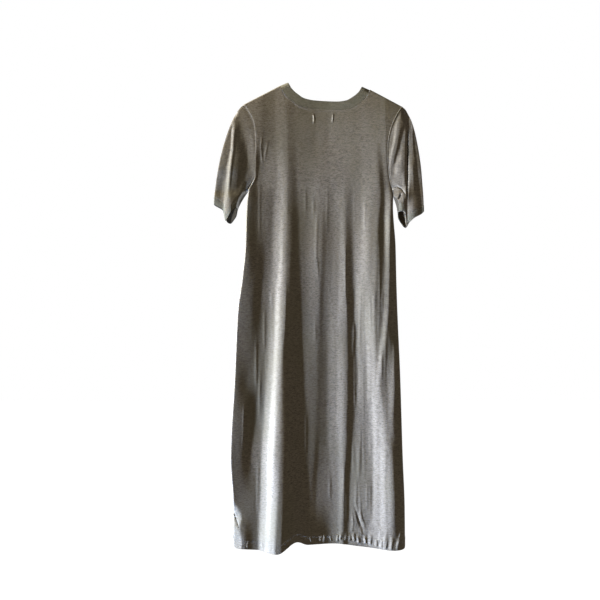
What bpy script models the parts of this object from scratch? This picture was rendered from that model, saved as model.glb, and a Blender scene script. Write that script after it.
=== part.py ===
"""T-shirt dress of thin jersey: crew neck, set-in short sleeves, straight calf-length body.

It hangs empty from its shoulders, hollow and a little deeper towards the hem, in long soft folds.
Metres, +Z up. The origin is midway between the shoulder points, where the dress is held.
The back faces -Y, the front faces +Y, and the wearer's right side is at +X.
Each piece is a closed wall of cloth around a grid of points worked out from the tables below.
In the tables, drop is the distance below the origin.
"""
from collections import namedtuple
from math import cos, hypot, pi, sqrt

import bpy
from mathutils import Vector

# ---- cloth -------------------------------------------------------------------------------------
WALL = 0.0020            # body and sleeve cloth
HEM_WALL = 0.0028        # the hem, where the cloth is turned up on itself
BAND_WALL = 0.0026       # folded neckband
CUFF_WALL = 0.0026       # folded sleeve bands
SEAM_GAP = 0.0003        # between the edges of two pieces that are sewn together
SHARPEST_MITRE = 0.50    # smallest cosine used where two walls meet at an angle
SHARP_ANGLE = pi / 3.0   # edges that bend more than this are shaded as edges
MM = 0.001

# ---- body --------------------------------------------------------------------------------------
COLUMNS = 44                                # cloth strips across each panel
EDGE_STEPS = (0.0, 0.0025, 0.010, 0.024)    # fine first steps in from each side, as a share
LEFT_NECK_COLUMN, RIGHT_NECK_COLUMN = 11, 34

SHOULDER_LEFT = Vector((-0.1975, 0.0, -0.0180))
SHOULDER_RIGHT = Vector((0.1925, 0.0, -0.0250))
NECK_LEFT = Vector((-0.1100, 0.0, 0.0290))
NECK_RIGHT = Vector((0.1147, 0.0, 0.0185))
UNDERARM_LEFT = Vector((-0.1875, 0.0, -0.2300))
UNDERARM_RIGHT = Vector((0.1715, 0.0, -0.2460))
HEM_DROP = 1.0970
HEM_TURN = 0.0200

# Rows of the grid from the shoulder to the underarm, as shares, then below it by drop.
ARMHOLE_ROWS = (0.0, 0.010, 0.030, 0.070, 0.13, 0.22, 0.33, 0.45, 0.57, 0.69, 0.80, 0.89, 0.955, 1.0)
BODY_ROWS = (0.262, 0.305, 0.360, 0.425, 0.500, 0.580, 0.665, 0.750, 0.835, 0.915, 0.985, 1.040,
             HEM_DROP - HEM_TURN - MM, HEM_DROP - HEM_TURN, HEM_DROP)

TILT_LENGTH = 0.300      # below the underarms, the rows grow level over this drop
EDGE_CLEAR = 0.010       # least distance between the outermost fold and the panel's edge

# The cloth rolls over the shoulders, then falls away: share of its full depth at each drop.
SHOULDER_ROLL = 0.0070
FallPoint = namedtuple("FallPoint", "drop share")
SHOULDER_FALL = (
    FallPoint(-0.030, 0.420),
    FallPoint(0.000, 0.550),
    FallPoint(0.030, 0.680),
    FallPoint(0.060, 0.780),
    FallPoint(0.100, 0.870),
    FallPoint(0.150, 0.940),
    FallPoint(0.210, 0.985),
    FallPoint(0.260, 1.000),
)

# Side seams: where the outline of the body runs.
Outline = namedtuple("Outline", "drop left right")
OUTLINE = (
    Outline(0.230, -0.1875, 0.1715),
    Outline(0.275, -0.1925, 0.1705),
    Outline(0.375, -0.1960, 0.1775),
    Outline(0.455, -0.2040, 0.1795),
    Outline(0.535, -0.2150, 0.1820),
    Outline(0.695, -0.2225, 0.1885),
    Outline(0.895, -0.2325, 0.1945),
    Outline(1.005, -0.2255, 0.1990),
    Outline(1.100, -0.2245, 0.2000),
)

# Neck seam, across from the middle of the neck: how far it lies below the neck corners.
NeckPoint = namedtuple("NeckPoint", "share back front")
NECK_SEAM = (
    NeckPoint(-1.00, 0.000, 0.000),
    NeckPoint(-0.90, 0.021, 0.030),
    NeckPoint(-0.74, 0.038, 0.061),
    NeckPoint(-0.55, 0.051, 0.087),
    NeckPoint(-0.28, 0.056, 0.103),
    NeckPoint(0.00, 0.0565, 0.107),
    NeckPoint(0.28, 0.056, 0.103),
    NeckPoint(0.55, 0.051, 0.087),
    NeckPoint(0.74, 0.038, 0.061),
    NeckPoint(0.90, 0.021, 0.030),
    NeckPoint(1.00, 0.000, 0.000),
)

# Armhole seam: how far it lies inside the straight line from shoulder to underarm, and how deep.
ArmholePoint = namedtuple("ArmholePoint", "share left_in right_in front_in depth")
ARMHOLE = (
    ArmholePoint(0.00, 0.0000, 0.0000, 0.0000, 1.00),
    ArmholePoint(0.12, 0.0150, 0.0140, 0.0000, 1.00),
    ArmholePoint(0.25, 0.0245, 0.0235, 0.0020, 1.00),
    ArmholePoint(0.40, 0.0255, 0.0275, 0.0050, 0.99),
    ArmholePoint(0.62, 0.0225, 0.0235, 0.0060, 0.95),
    ArmholePoint(0.82, 0.0205, 0.0150, 0.0040, 0.84),
    ArmholePoint(0.93, 0.0110, 0.0070, 0.0010, 0.56),
    ArmholePoint(1.00, 0.0000, 0.0000, 0.0000, 0.00),
)

# Long folds: for each crest and groove, its place across and its depth at six heights (in mm).
FOLD_DROPS = (0.130, 0.280, 0.430, 0.580, 0.800, 1.060)
Fold = namedtuple("Fold", "name across depth")
BACK_FOLDS = (
    Fold("left roll",     (-153, -178, -182, -198, -210, -200), (31, 33, 36, 37, 39, 44)),
    Fold("left groove",   (-129, -139, -142, -153, -166, -164), (29, 29, 29, 30, 30, 38)),
    Fold("main crest",    (-95, -93, -95, -101, -107, -116), (30, 32, 37, 42, 55, 72)),
    Fold("crest foot",    (-62, -60, -57, -53, -45, -42), (28, 29, 31, 29, 31, 37)),
    Fold("small crest",   (-18, -10, -12, -16, -22, -28), (28, 30, 31, 29, 29, 36)),
    Fold("small groove",  (8, 9, 5, 0, -3, -6), (28, 28, 30, 27, 27, 32)),
    Fold("middle crest",  (50, 51, 52, 53, 51, 46), (30, 31, 33, 31, 31, 33)),
    Fold("middle groove", (68, 68, 73, 77, 75, 60), (30, 30, 31, 28, 28, 31)),
    Fold("right crest",   (128, 137, 148, 156, 162, 172), (34, 38, 41, 44, 48, 54)),
)
FRONT_FOLDS = (
    Fold("left roll",     (-146, -166, -172, -184, -196, -196), (29, 33, 37, 42, 50, 60)),
    Fold("left groove",   (-110, -118, -120, -126, -134, -138), (31, 28, 25, 25, 28, 36)),
    Fold("left crest",    (-78, -80, -82, -86, -92, -98), (31, 32, 34, 36, 42, 52)),
    Fold("centre groove", (-34, -36, -38, -42, -48, -54), (31, 30, 27, 25, 25, 29)),
    Fold("centre crest",  (4, 4, 2, 2, 4, 6), (31, 32, 33, 36, 41, 48)),
    Fold("centre foot",   (44, 46, 46, 50, 56, 58), (31, 30, 28, 26, 27, 31)),
    Fold("right crest",   (86, 84, 86, 92, 100, 108), (31, 32, 36, 41, 52, 66)),
    Fold("right groove",  (118, 122, 124, 132, 142, 150), (30, 27, 25, 25, 28, 36)),
    Fold("right roll",    (136, 146, 152, 160, 172, 178), (28, 32, 36, 40, 46, 54)),
)

# Hem: how much lower than its highest place it hangs, across the back and the front.
HEM_FROM_DROP = 0.900
HemPoint = namedtuple("HemPoint", "across back front")
HEM_LINE = (
    HemPoint(-0.2250, 0.0150, 0.0150),
    HemPoint(-0.2000, 0.0170, 0.0165),
    HemPoint(-0.1600, 0.0200, 0.0110),
    HemPoint(-0.1160, 0.0225, 0.0150),
    HemPoint(-0.0680, -0.0020, 0.0090),
    HemPoint(-0.0400, 0.0075, 0.0060),
    HemPoint(0.0280, 0.0065, 0.0120),
    HemPoint(0.0750, 0.0115, 0.0070),
    HemPoint(0.1230, 0.0155, 0.0160),
    HemPoint(0.1700, 0.0170, 0.0150),
    HemPoint(0.2000, 0.0150, 0.0150),
)

# ---- neckband ----------------------------------------------------------------------------------
BAND_RINGS = 3
BAND_DRAW_IN = 0.83      # the free edge across, as a share of the seam
BAND_LEAN = 0.88         # the free edge front to back, as a share of the seam
BAND_RISE_CORNER = 0.0085
BAND_RISE_MIDDLE = 0.0200

# ---- sleeves -----------------------------------------------------------------------------------
SLEEVE_RINGS = 10
CUFF_RINGS = 3
CUFF_WIDTH = 0.0220

# Edge of each sleeve's opening, from its outer side (share 0) to its inner side (share 1):
# place across, depth and drop, on the back half and on the front half.
CuffPoint = namedtuple("CuffPoint", "share back_x back_depth back_drop front_x front_depth front_drop")
LEFT_CUFF = (
    CuffPoint(0.00, -0.2730, 0.000, 0.2680, -0.2730, 0.000, 0.2680),
    CuffPoint(0.20, -0.2660, 0.014, 0.2730, -0.2650, 0.024, 0.2750),
    CuffPoint(0.38, -0.2530, 0.028, 0.2800, -0.2560, 0.041, 0.2880),
    CuffPoint(0.52, -0.2460, 0.036, 0.3010, -0.2470, 0.050, 0.3060),
    CuffPoint(0.64, -0.2400, 0.038, 0.3030, -0.2375, 0.050, 0.3095),
    CuffPoint(0.76, -0.2330, 0.032, 0.2890, -0.2270, 0.038, 0.3020),
    CuffPoint(0.88, -0.2240, 0.018, 0.2810, -0.2195, 0.020, 0.2920),
    CuffPoint(1.00, -0.2175, 0.000, 0.2775, -0.2175, 0.000, 0.2775),
)
RIGHT_CUFF = (
    CuffPoint(0.00, 0.2465, 0.000, 0.2850, 0.2465, 0.000, 0.2850),
    CuffPoint(0.20, 0.2380, 0.022, 0.2930, 0.2390, 0.024, 0.2880),
    CuffPoint(0.40, 0.2200, 0.041, 0.3030, 0.2230, 0.042, 0.3000),
    CuffPoint(0.55, 0.2090, 0.050, 0.3110, 0.2110, 0.050, 0.3220),
    CuffPoint(0.70, 0.2010, 0.040, 0.2960, 0.2000, 0.042, 0.3120),
    CuffPoint(0.85, 0.1940, 0.020, 0.2850, 0.1890, 0.022, 0.2970),
    CuffPoint(1.00, 0.1860, 0.000, 0.2820, 0.1860, 0.000, 0.2820),
)

# How the sleeve leaves the armhole at its top, back and underarm: (out, back, down) in metres.
LEAVE_TOP = (0.134, 0.000, 0.087)
LEAVE_SIDE = (0.062, 0.045, 0.090)
LEAVE_UNDER = (0.046, 0.000, 0.010)
# How it arrives at the opening: straight down, by these lengths.
ARRIVE_TOP, ARRIVE_SIDE, ARRIVE_UNDER = 0.180, 0.110, 0.045

SLEEVE_WAY = Vector((1.0, 0.0, -0.2))        # the way the sleeve leaves the body, at the right
NEAR_OPENING, NEAR_TOP = -3, 3               # a ring, and a point of it on the sleeve's upper side

# Sleeve folds: place round the sleeve (0 top, 1 underarm) at the armhole, half way and at the
# opening, half-widths towards the top and the underarm, and how high they stand (in mm).
SLEEVE_STATIONS = (0.0, 0.5, 1.0)
RELIEF_EASE = 0.25                           # share of the sleeve over which its folds grow
SleeveFold = namedtuple("SleeveFold", "name place over under high")
LEFT_BACK_SLEEVE = (
    SleeveFold("ridge",        (0.02, 0.26, 0.54), 0.11, 0.40, (4.0, 12.0, 15.0)),
    SleeveFold("lower groove", (0.74, 0.84, 0.90), 0.20, 0.12, (-2.0, -4.0, -3.0)),
)
LEFT_FRONT_SLEEVE = (
    SleeveFold("ridge",        (0.20, 0.38, 0.55), 0.22, 0.24, (2.0, 6.0, 6.0)),
    SleeveFold("lower groove", (0.62, 0.72, 0.80), 0.18, 0.16, (-2.0, -5.0, -4.0)),
)
RIGHT_BACK_SLEEVE = (
    SleeveFold("outer ridge",  (0.00, 0.24, 0.50), 0.22, 0.14, (2.0, 6.0, 7.0)),
    SleeveFold("deep groove",  (0.08, 0.42, 0.72), 0.14, 0.14, (-4.0, -8.0, -6.0)),
    SleeveFold("inner ridge",  (0.20, 0.60, 0.88), 0.16, 0.20, (2.0, 4.0, 3.0)),
)
RIGHT_FRONT_SLEEVE = (
    SleeveFold("ridge",        (0.16, 0.34, 0.52), 0.22, 0.22, (2.0, 6.0, 6.0)),
    SleeveFold("lower groove", (0.60, 0.70, 0.80), 0.18, 0.16, (-3.0, -6.0, -4.0)),
)

# ---- colours -----------------------------------------------------------------------------------
JERSEY = (0.165, 0.145, 0.115, 1.0)
BAND_JERSEY = (0.150, 0.132, 0.098, 1.0)
JERSEY_ROUGHNESS = 0.88

BACK, FRONT = -1.0, 1.0


# ---- small mathematics -------------------------------------------------------------------------
def soft(t):
    """Ease from 0 to 1."""
    t = min(max(t, 0.0), 1.0)
    return t * t * (3.0 - 2.0 * t)


def quarter_round(t):
    """Rise like a quarter circle from 0 to 1."""
    t = min(max(t, 0.0), 1.0)
    return sqrt(1.0 - (1.0 - t) ** 2)


def through(keys, values, at):
    """Read a smooth curve through the values, with no overshoot between them."""
    if at <= keys[0]:
        return values[0]
    if at >= keys[-1]:
        return values[-1]
    k = max(i for i, key in enumerate(keys) if key <= at)
    k = min(k, len(keys) - 2)
    slopes = [(b - a) / (kb - ka) for a, b, ka, kb in zip(values, values[1:], keys, keys[1:])]

    def tangent(i):
        if i in (0, len(keys) - 1):
            return slopes[0] if i == 0 else slopes[-1]
        before, after = slopes[i - 1], slopes[i]
        if before * after <= 0.0:
            return 0.0
        return 2.0 * before * after / (before + after)

    step = keys[k + 1] - keys[k]
    t = (at - keys[k]) / step
    return (values[k] * (1 + 2 * t) * (1 - t) ** 2 + tangent(k) * step * t * (1 - t) ** 2
            + values[k + 1] * t * t * (3 - 2 * t) + tangent(k + 1) * step * t * t * (t - 1))


def column_of(rows, field, key, at):
    """Read one named column of a table at a value of its key column."""
    return through([getattr(r, key) for r in rows], [getattr(r, field) for r in rows], at)


# ---- body panels -------------------------------------------------------------------------------
def across_share(column):
    """How far across the panel a column of the grid lies, 0 at its left and 1 at its right."""
    fine = len(EDGE_STEPS) - 1
    if column <= fine:
        return EDGE_STEPS[column]
    if column >= COLUMNS - fine:
        return 1.0 - EDGE_STEPS[COLUMNS - column]
    return EDGE_STEPS[-1] + (1.0 - 2.0 * EDGE_STEPS[-1]) * (column - fine) / (COLUMNS - 2 * fine)


def top_edge(column, side):
    """A point (x, z) on the panel's top edge: shoulder seam, neck seam, shoulder seam."""
    if column <= LEFT_NECK_COLUMN:
        t = across_share(column) / across_share(LEFT_NECK_COLUMN)
        point = SHOULDER_LEFT.lerp(NECK_LEFT, t)
    elif column >= RIGHT_NECK_COLUMN:
        t = (1.0 - across_share(column)) / (1.0 - across_share(RIGHT_NECK_COLUMN))
        point = SHOULDER_RIGHT.lerp(NECK_RIGHT, t)
    else:
        left, right = across_share(LEFT_NECK_COLUMN), across_share(RIGHT_NECK_COLUMN)
        t = (across_share(column) - left) / (right - left)
        point = NECK_LEFT.lerp(NECK_RIGHT, t)
        fall = column_of(NECK_SEAM, "back" if side == BACK else "front", "share", 2.0 * t - 1.0)
        point = point - Vector((0.0, 0.0, fall))
    return point


def armhole_edge(share, at_left, side):
    """A point (x, z) on the armhole seam, and the depth of the seam as a share of the panel's."""
    start, end = (SHOULDER_LEFT, UNDERARM_LEFT) if at_left else (SHOULDER_RIGHT, UNDERARM_RIGHT)
    inward = 1.0 if at_left else -1.0
    reach = column_of(ARMHOLE, "left_in" if at_left else "right_in", "share", share)
    if side == FRONT:
        reach += column_of(ARMHOLE, "front_in", "share", share)
    point = start.lerp(end, share) + Vector((inward * reach, 0.0, 0.0))
    return point, column_of(ARMHOLE, "depth", "share", share)


def shoulder_fall(x, z):
    """Share of its full depth that the cloth has reached at a place on a panel."""
    nearest = SHOULDER_ROLL
    for start, end in ((SHOULDER_LEFT, NECK_LEFT), (SHOULDER_RIGHT, NECK_RIGHT)):
        along_x, along_z = end.x - start.x, end.z - start.z
        t = ((x - start.x) * along_x + (z - start.z) * along_z) / (along_x ** 2 + along_z ** 2)
        t = min(max(t, 0.0), 1.0)
        nearest = min(nearest, hypot(x - start.x - t * along_x, z - start.z - t * along_z))
    return quarter_round(nearest / SHOULDER_ROLL) * column_of(SHOULDER_FALL, "share", "drop", -z)


def fold_depth(folds, x, drop, left, right, left_edge, right_edge):
    """Depth of the panel at a place across it, between its two edges, from the table of folds.

    Crests and grooves are joined by half waves. Outside the outermost crests the cloth turns
    in to the edges, which lie at the given shares of their depth.
    """
    across = [through(FOLD_DROPS, fold.across, drop) * MM for fold in folds]
    depth = [through(FOLD_DROPS, fold.depth, drop) * MM for fold in folds]
    across[0] = max(across[0], left + EDGE_CLEAR)
    across[-1] = min(across[-1], right - EDGE_CLEAR)
    if x <= across[0]:
        rise = quarter_round((x - left) / (across[0] - left))
        return depth[0] * (left_edge + (1.0 - left_edge) * rise)
    if x >= across[-1]:
        rise = quarter_round((right - x) / (right - across[-1]))
        return depth[-1] * (right_edge + (1.0 - right_edge) * rise)
    k = max(i for i, place in enumerate(across) if place <= x)
    t = (x - across[k]) / (across[k + 1] - across[k])
    return depth[k] + (depth[k + 1] - depth[k]) * (0.5 - 0.5 * cos(pi * t))


def panel_points(side):
    """Grid of points down the middle of one body panel's wall, from its top edge to its hem."""
    folds = BACK_FOLDS if side == BACK else FRONT_FOLDS
    grid = []
    for share in ARMHOLE_ROWS:
        left, left_depth = armhole_edge(share, True, side)
        right, right_depth = armhole_edge(share, False, side)
        row = []
        for column in range(COLUMNS + 1):
            s = across_share(column)
            top = top_edge(column, side)
            level = UNDERARM_LEFT.lerp(UNDERARM_RIGHT, s)
            corners = (SHOULDER_LEFT.lerp(SHOULDER_RIGHT, s) * (1.0 - share)
                       + UNDERARM_LEFT.lerp(UNDERARM_RIGHT, s) * share)
            place = left.lerp(right, s) + top * (1.0 - share) + level * share - corners
            depth = fold_depth(folds, place.x, -place.z, left.x, right.x, left_depth, right_depth)
            depth *= shoulder_fall(place.x, place.z)
            row.append(Vector((place.x, side * depth, place.z)))
        grid.append(row)
    for drop in BODY_ROWS:
        level = soft((drop + UNDERARM_LEFT.z) / TILT_LENGTH)
        tilt = (UNDERARM_LEFT.z - UNDERARM_RIGHT.z) * (1.0 - level)
        left = column_of(OUTLINE, "left", "drop", drop)
        right = column_of(OUTLINE, "right", "drop", drop + tilt)
        low = soft((drop - HEM_FROM_DROP) / (HEM_DROP - HEM_TURN - HEM_FROM_DROP))
        row = []
        for column in range(COLUMNS + 1):
            s = across_share(column)
            x = left + (right - left) * s
            depth = fold_depth(folds, x, drop + tilt * s, left, right, 0.0, 0.0)
            depth *= column_of(SHOULDER_FALL, "share", "drop", drop + tilt * s)
            dip = low * column_of(HEM_LINE, "back" if side == BACK else "front", "across", x)
            row.append(Vector((x, side * depth, -drop - tilt * s - dip)))
        grid.append(row)
    return grid


def grid_normals(grid, closed=False):
    """Unit normals of a grid of points."""
    rows, columns = len(grid), len(grid[0])
    normals = []
    for j in range(rows):
        line = []
        for i in range(columns):
            if closed:
                before, after = grid[j][i - 1], grid[j][(i + 1) % columns]
            else:
                before, after = grid[j][max(i - 1, 0)], grid[j][min(i + 1, columns - 1)]
            above, below = grid[max(j - 1, 0)][i], grid[min(j + 1, rows - 1)][i]
            line.append((after - before).cross(below - above).normalized())
        normals.append(line)
    return normals


def facing(normals, row, column, way):
    """The normals, turned over if need be so that the one at a row and column points a way."""
    if normals[row][column].dot(way) < 0.0:
        return [[-normal for normal in line] for line in normals]
    return normals


def flat_across_y(normal):
    """A normal turned into the plane that the back and front panels meet on."""
    return Vector((normal.x, 0.0, normal.z)).normalized()


def panel(side):
    """Points and normals of a body panel, its edges set just clear of the other panel's."""
    grid = panel_points(side)
    way = Vector((0.0, side, 0.0))
    normals = facing(grid_normals(grid), len(grid) // 2, COLUMNS // 2, way)
    underarm_row = len(ARMHOLE_ROWS) - 1
    for j, row in enumerate(grid):
        for i in range(COLUMNS + 1):
            at_shoulder = j == 0 and not LEFT_NECK_COLUMN < i < RIGHT_NECK_COLUMN
            at_side = i in (0, COLUMNS) and j >= underarm_row
            if at_shoulder or at_side:
                row[i].y = side * SEAM_GAP / 2.0
                normals[j][i] = flat_across_y(normals[j][i])
    return grid, normals


# ---- seams -------------------------------------------------------------------------------------
def mitre(points, first_normals, second_normals, toward_second, corners):
    """How two walls meet along a closed line: for each point the shared direction across both
    walls, how far it is stretched, and the way from the first wall to the second. At a corner,
    where the back and front panels meet too, both directions lie in the plane between them."""
    joints = []
    count = len(points)
    for i in range(count):
        shared = (first_normals[i] + second_normals[i]).normalized()
        if i in corners:
            shared = flat_across_y(shared)
        stretch = 1.0 / max(shared.dot(first_normals[i]), SHARPEST_MITRE)
        along = Vector((0.0, 1.0, 0.0)) if i in corners else points[(i + 1) % count] - points[i - 1]
        way = along.cross(shared).normalized()
        if way.dot(toward_second(i)) < 0.0:
            way = -way
        joints.append((shared, stretch, way))
    return joints


def sew(joints, marks, corners, panels, ring, normals):
    """Part the panels' edges and the first ring sewn to them, and give both the same slant.

    Each mark is the (row, column, side) of the panel point that the ring's point is sewn to.
    """
    for k, (row, column, side) in enumerate(marks):
        shared, stretch, way = joints[k]
        for own, (grid, panel_normals) in zip((BACK, FRONT), panels):
            if side == own or k in corners:
                grid[row][column] = grid[row][column] - way * SEAM_GAP / 2.0
                panel_normals[row][column] = shared * stretch
        ring[k] = ring[k] + way * SEAM_GAP / 2.0
        normals[k] = shared * stretch


# ---- walls -------------------------------------------------------------------------------------
def wall_object(name, grid, offsets, material, closed=False):
    """A closed wall: the grid of points moved half a thickness each way, with its rims filled."""
    rows, columns = len(grid), len(grid[0])
    vertices = []
    for way in (1.0, -1.0):
        for j in range(rows):
            for i in range(columns):
                vertices.append(grid[j][i] + offsets[j][i] * way)

    def outer(j, i):
        return j * columns + i % columns

    def inner(j, i):
        return rows * columns + outer(j, i)

    spans = columns if closed else columns - 1
    faces = []
    for j in range(rows - 1):
        for i in range(spans):
            faces.append((outer(j, i), outer(j + 1, i), outer(j + 1, i + 1), outer(j, i + 1)))
            faces.append((inner(j, i), inner(j, i + 1), inner(j + 1, i + 1), inner(j + 1, i)))
    for i in range(spans):
        faces.append((outer(0, i), outer(0, i + 1), inner(0, i + 1), inner(0, i)))
        last = rows - 1
        faces.append((outer(last, i), inner(last, i), inner(last, i + 1), outer(last, i + 1)))
    if not closed:
        for j in range(rows - 1):
            faces.append((outer(j, 0), inner(j, 0), inner(j + 1, 0), outer(j + 1, 0)))
            end = columns - 1
            faces.append((outer(j, end), outer(j + 1, end), inner(j + 1, end), inner(j, end)))
    triangles = []
    for a, b, c, d in faces:
        if (vertices[a] - vertices[c]).length <= (vertices[b] - vertices[d]).length:
            triangles += [(a, b, c), (a, c, d)]
        else:
            triangles += [(a, b, d), (b, c, d)]
    volume = sum(vertices[a].dot(vertices[b].cross(vertices[c])) for a, b, c in triangles)
    if volume < 0.0:
        triangles = [(a, c, b) for a, b, c in triangles]

    mesh = bpy.data.meshes.new(name)
    mesh.from_pydata(vertices, [], triangles)
    mesh.materials.append(material)
    mesh.shade_smooth()
    mesh.set_sharp_from_angle(angle=SHARP_ANGLE)
    obj = bpy.data.objects.new(name, mesh)
    bpy.context.scene.collection.objects.link(obj)
    return obj


def cloth_material(name, colour):
    material = bpy.data.materials.new(name)
    material.use_nodes = True
    shader = material.node_tree.nodes["Principled BSDF"]
    shader.inputs["Base Color"].default_value = colour
    shader.inputs["Roughness"].default_value = JERSEY_ROUGHNESS
    shader.inputs["Metallic"].default_value = 0.0
    return material


# ---- sleeves -----------------------------------------------------------------------------------
def armhole_loop(grids, column):
    """The armhole's points: from the shoulder down the back panel and up the front one."""
    under = len(ARMHOLE_ROWS) - 1
    back, front = grids
    loop = [(back[j][column], j, BACK) for j in range(under + 1)]
    loop += [(front[j][column], j, FRONT) for j in range(under - 1, 0, -1)]
    points = []
    for point, j, _ in loop:
        point = point.copy()
        if j in (0, under):
            point.y = 0.0
        points.append(point)
    return points, [(j, side) for _, j, side in loop]


def round_shares(points, under):
    """How far round the half sleeve each point lies: 0 at the top, 1 at the underarm."""
    count = len(points)
    lengths = [(points[(i + 1) % count] - points[i]).length for i in range(count)]
    back, front = sum(lengths[:under]), sum(lengths[under:])
    shares = []
    for i in range(count):
        if i <= under:
            shares.append(sum(lengths[:i]) / back)
        else:
            shares.append(sum(lengths[i:]) / front)
    return shares


def cuff_point(cuff, share, side):
    """A point on the edge of the sleeve's opening."""
    half = "back" if side == BACK else "front"
    x, depth, drop = (column_of(cuff, f"{half}_{field}", "share", share)
                      for field in ("x", "depth", "drop"))
    return Vector((x, side * depth, -drop))


def blend_three(top, middle, under, share):
    """Blend smoothly from top through middle to underarm values."""
    if share < 0.5:
        return top + (middle - top) * soft(share * 2.0)
    return middle + (under - middle) * soft(share * 2.0 - 1.0)


def sleeve_lines(points, marks, shares, cuff, outward):
    """For each point of the armhole, the smooth line that the cloth follows to the opening."""
    lines = []
    for point, (_, side), share in zip(points, marks, shares):
        end = cuff_point(cuff, share, side)
        leave = blend_three(Vector(LEAVE_TOP), Vector(LEAVE_SIDE), Vector(LEAVE_UNDER), share)
        leave = Vector((outward * leave.x, side * leave.y, -leave.z))
        arrive = Vector((0.0, 0.0, -blend_three(ARRIVE_TOP, ARRIVE_SIDE, ARRIVE_UNDER, share)))
        lines.append((point, leave, end, arrive))
    return lines


def on_line(line, t):
    start, leave, end, arrive = line
    return (start * (1 + 2 * t) * (1 - t) ** 2 + leave * t * (1 - t) ** 2
            + end * t * t * (3 - 2 * t) + arrive * t * t * (t - 1))


def line_length(line, steps=12):
    places = [on_line(line, k / steps) for k in range(steps + 1)]
    return sum((b - a).length for a, b in zip(places, places[1:]))


def sleeve_relief(folds, share, t):
    """How far the sleeve's folds lift the cloth at a place round it and along it."""
    height = 0.0
    for fold in folds:
        middle = through(SLEEVE_STATIONS, fold.place, t)
        width = fold.over if share < middle else fold.under
        away = min(abs(share - middle) / width, 1.0)
        strength = through(SLEEVE_STATIONS, fold.high, t) * MM * soft(t / RELIEF_EASE)
        height += strength * (0.5 + 0.5 * cos(pi * away))
    return height


def sleeve_rings(lines):
    """Rings of points round the sleeve, from the armhole to the edge of its band."""
    starts = [1.0 - CUFF_WIDTH / line_length(line) for line in lines]
    rings = []
    for k in range(SLEEVE_RINGS + CUFF_RINGS + 1):
        if k <= SLEEVE_RINGS:
            places = [start * k / SLEEVE_RINGS for start in starts]
        else:
            places = [start + (1.0 - start) * (k - SLEEVE_RINGS) / CUFF_RINGS for start in starts]
        rings.append([on_line(line, t) for line, t in zip(lines, places)])
    return rings


def sleeve_normals(rings):
    """Normals of the sleeve's rings, all pointing out of the sleeve."""
    ring = rings[NEAR_OPENING]
    centre = sum(ring, Vector()) / len(ring)
    way = ring[NEAR_TOP] - centre
    return facing(grid_normals(rings, closed=True), NEAR_OPENING, NEAR_TOP, way)


def add_sleeve_folds(rings, folds, shares, marks):
    """Lift the sleeve's cloth into its folds; folds holds the back's table and the front's."""
    normals = sleeve_normals(rings)
    for k, ring in enumerate(rings):
        t = min(k / (SLEEVE_RINGS + 1.0), 1.0)
        for i, (_, side) in enumerate(marks):
            own = folds[0] if side == BACK else folds[1]
            ring[i] = ring[i] + normals[k][i] * sleeve_relief(own, shares[i], t)


def sleeve(word, panels, column, cuff, folds, materials):
    """One sleeve and its band, sewn round the armhole at a side of the two panels."""
    outward = -1.0 if column == 0 else 1.0
    under = len(ARMHOLE_ROWS) - 1
    points, marks = armhole_loop([grid for grid, _ in panels], column)
    shares = round_shares(points, under)
    rings = sleeve_rings(sleeve_lines(points, marks, shares, cuff, outward))
    add_sleeve_folds(rings, folds, shares, marks)
    normals = sleeve_normals(rings)

    way = Vector((outward * SLEEVE_WAY.x, SLEEVE_WAY.y, SLEEVE_WAY.z))
    panel_normals = [panels[0 if side == BACK else 1][1][j][column] for j, side in marks]
    corners = (0, under)
    joints = mitre(points, panel_normals, normals[0], lambda i: way, corners)
    sew(joints, [(j, column, side) for j, side in marks], corners, panels, rings[0], normals[0])

    upper = [list(ring) for ring in rings[:SLEEVE_RINGS + 1]]
    band = [list(ring) for ring in rings[SLEEVE_RINGS:]]
    for i in range(len(points)):
        down = (rings[SLEEVE_RINGS + 1][i] - rings[SLEEVE_RINGS - 1][i]).normalized()
        upper[-1][i] = upper[-1][i] - down * SEAM_GAP / 2.0
        band[0][i] = band[0][i] + down * SEAM_GAP / 2.0
    upper_offsets = [[n * WALL / 2.0 for n in line] for line in normals[:SLEEVE_RINGS + 1]]
    band_offsets = [[n * CUFF_WALL / 2.0 for n in line] for line in normals[SLEEVE_RINGS:]]
    wall_object("sleeve_" + word, upper, upper_offsets, materials["jersey"], closed=True)
    wall_object("cuff_" + word, band, band_offsets, materials["band"], closed=True)


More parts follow.
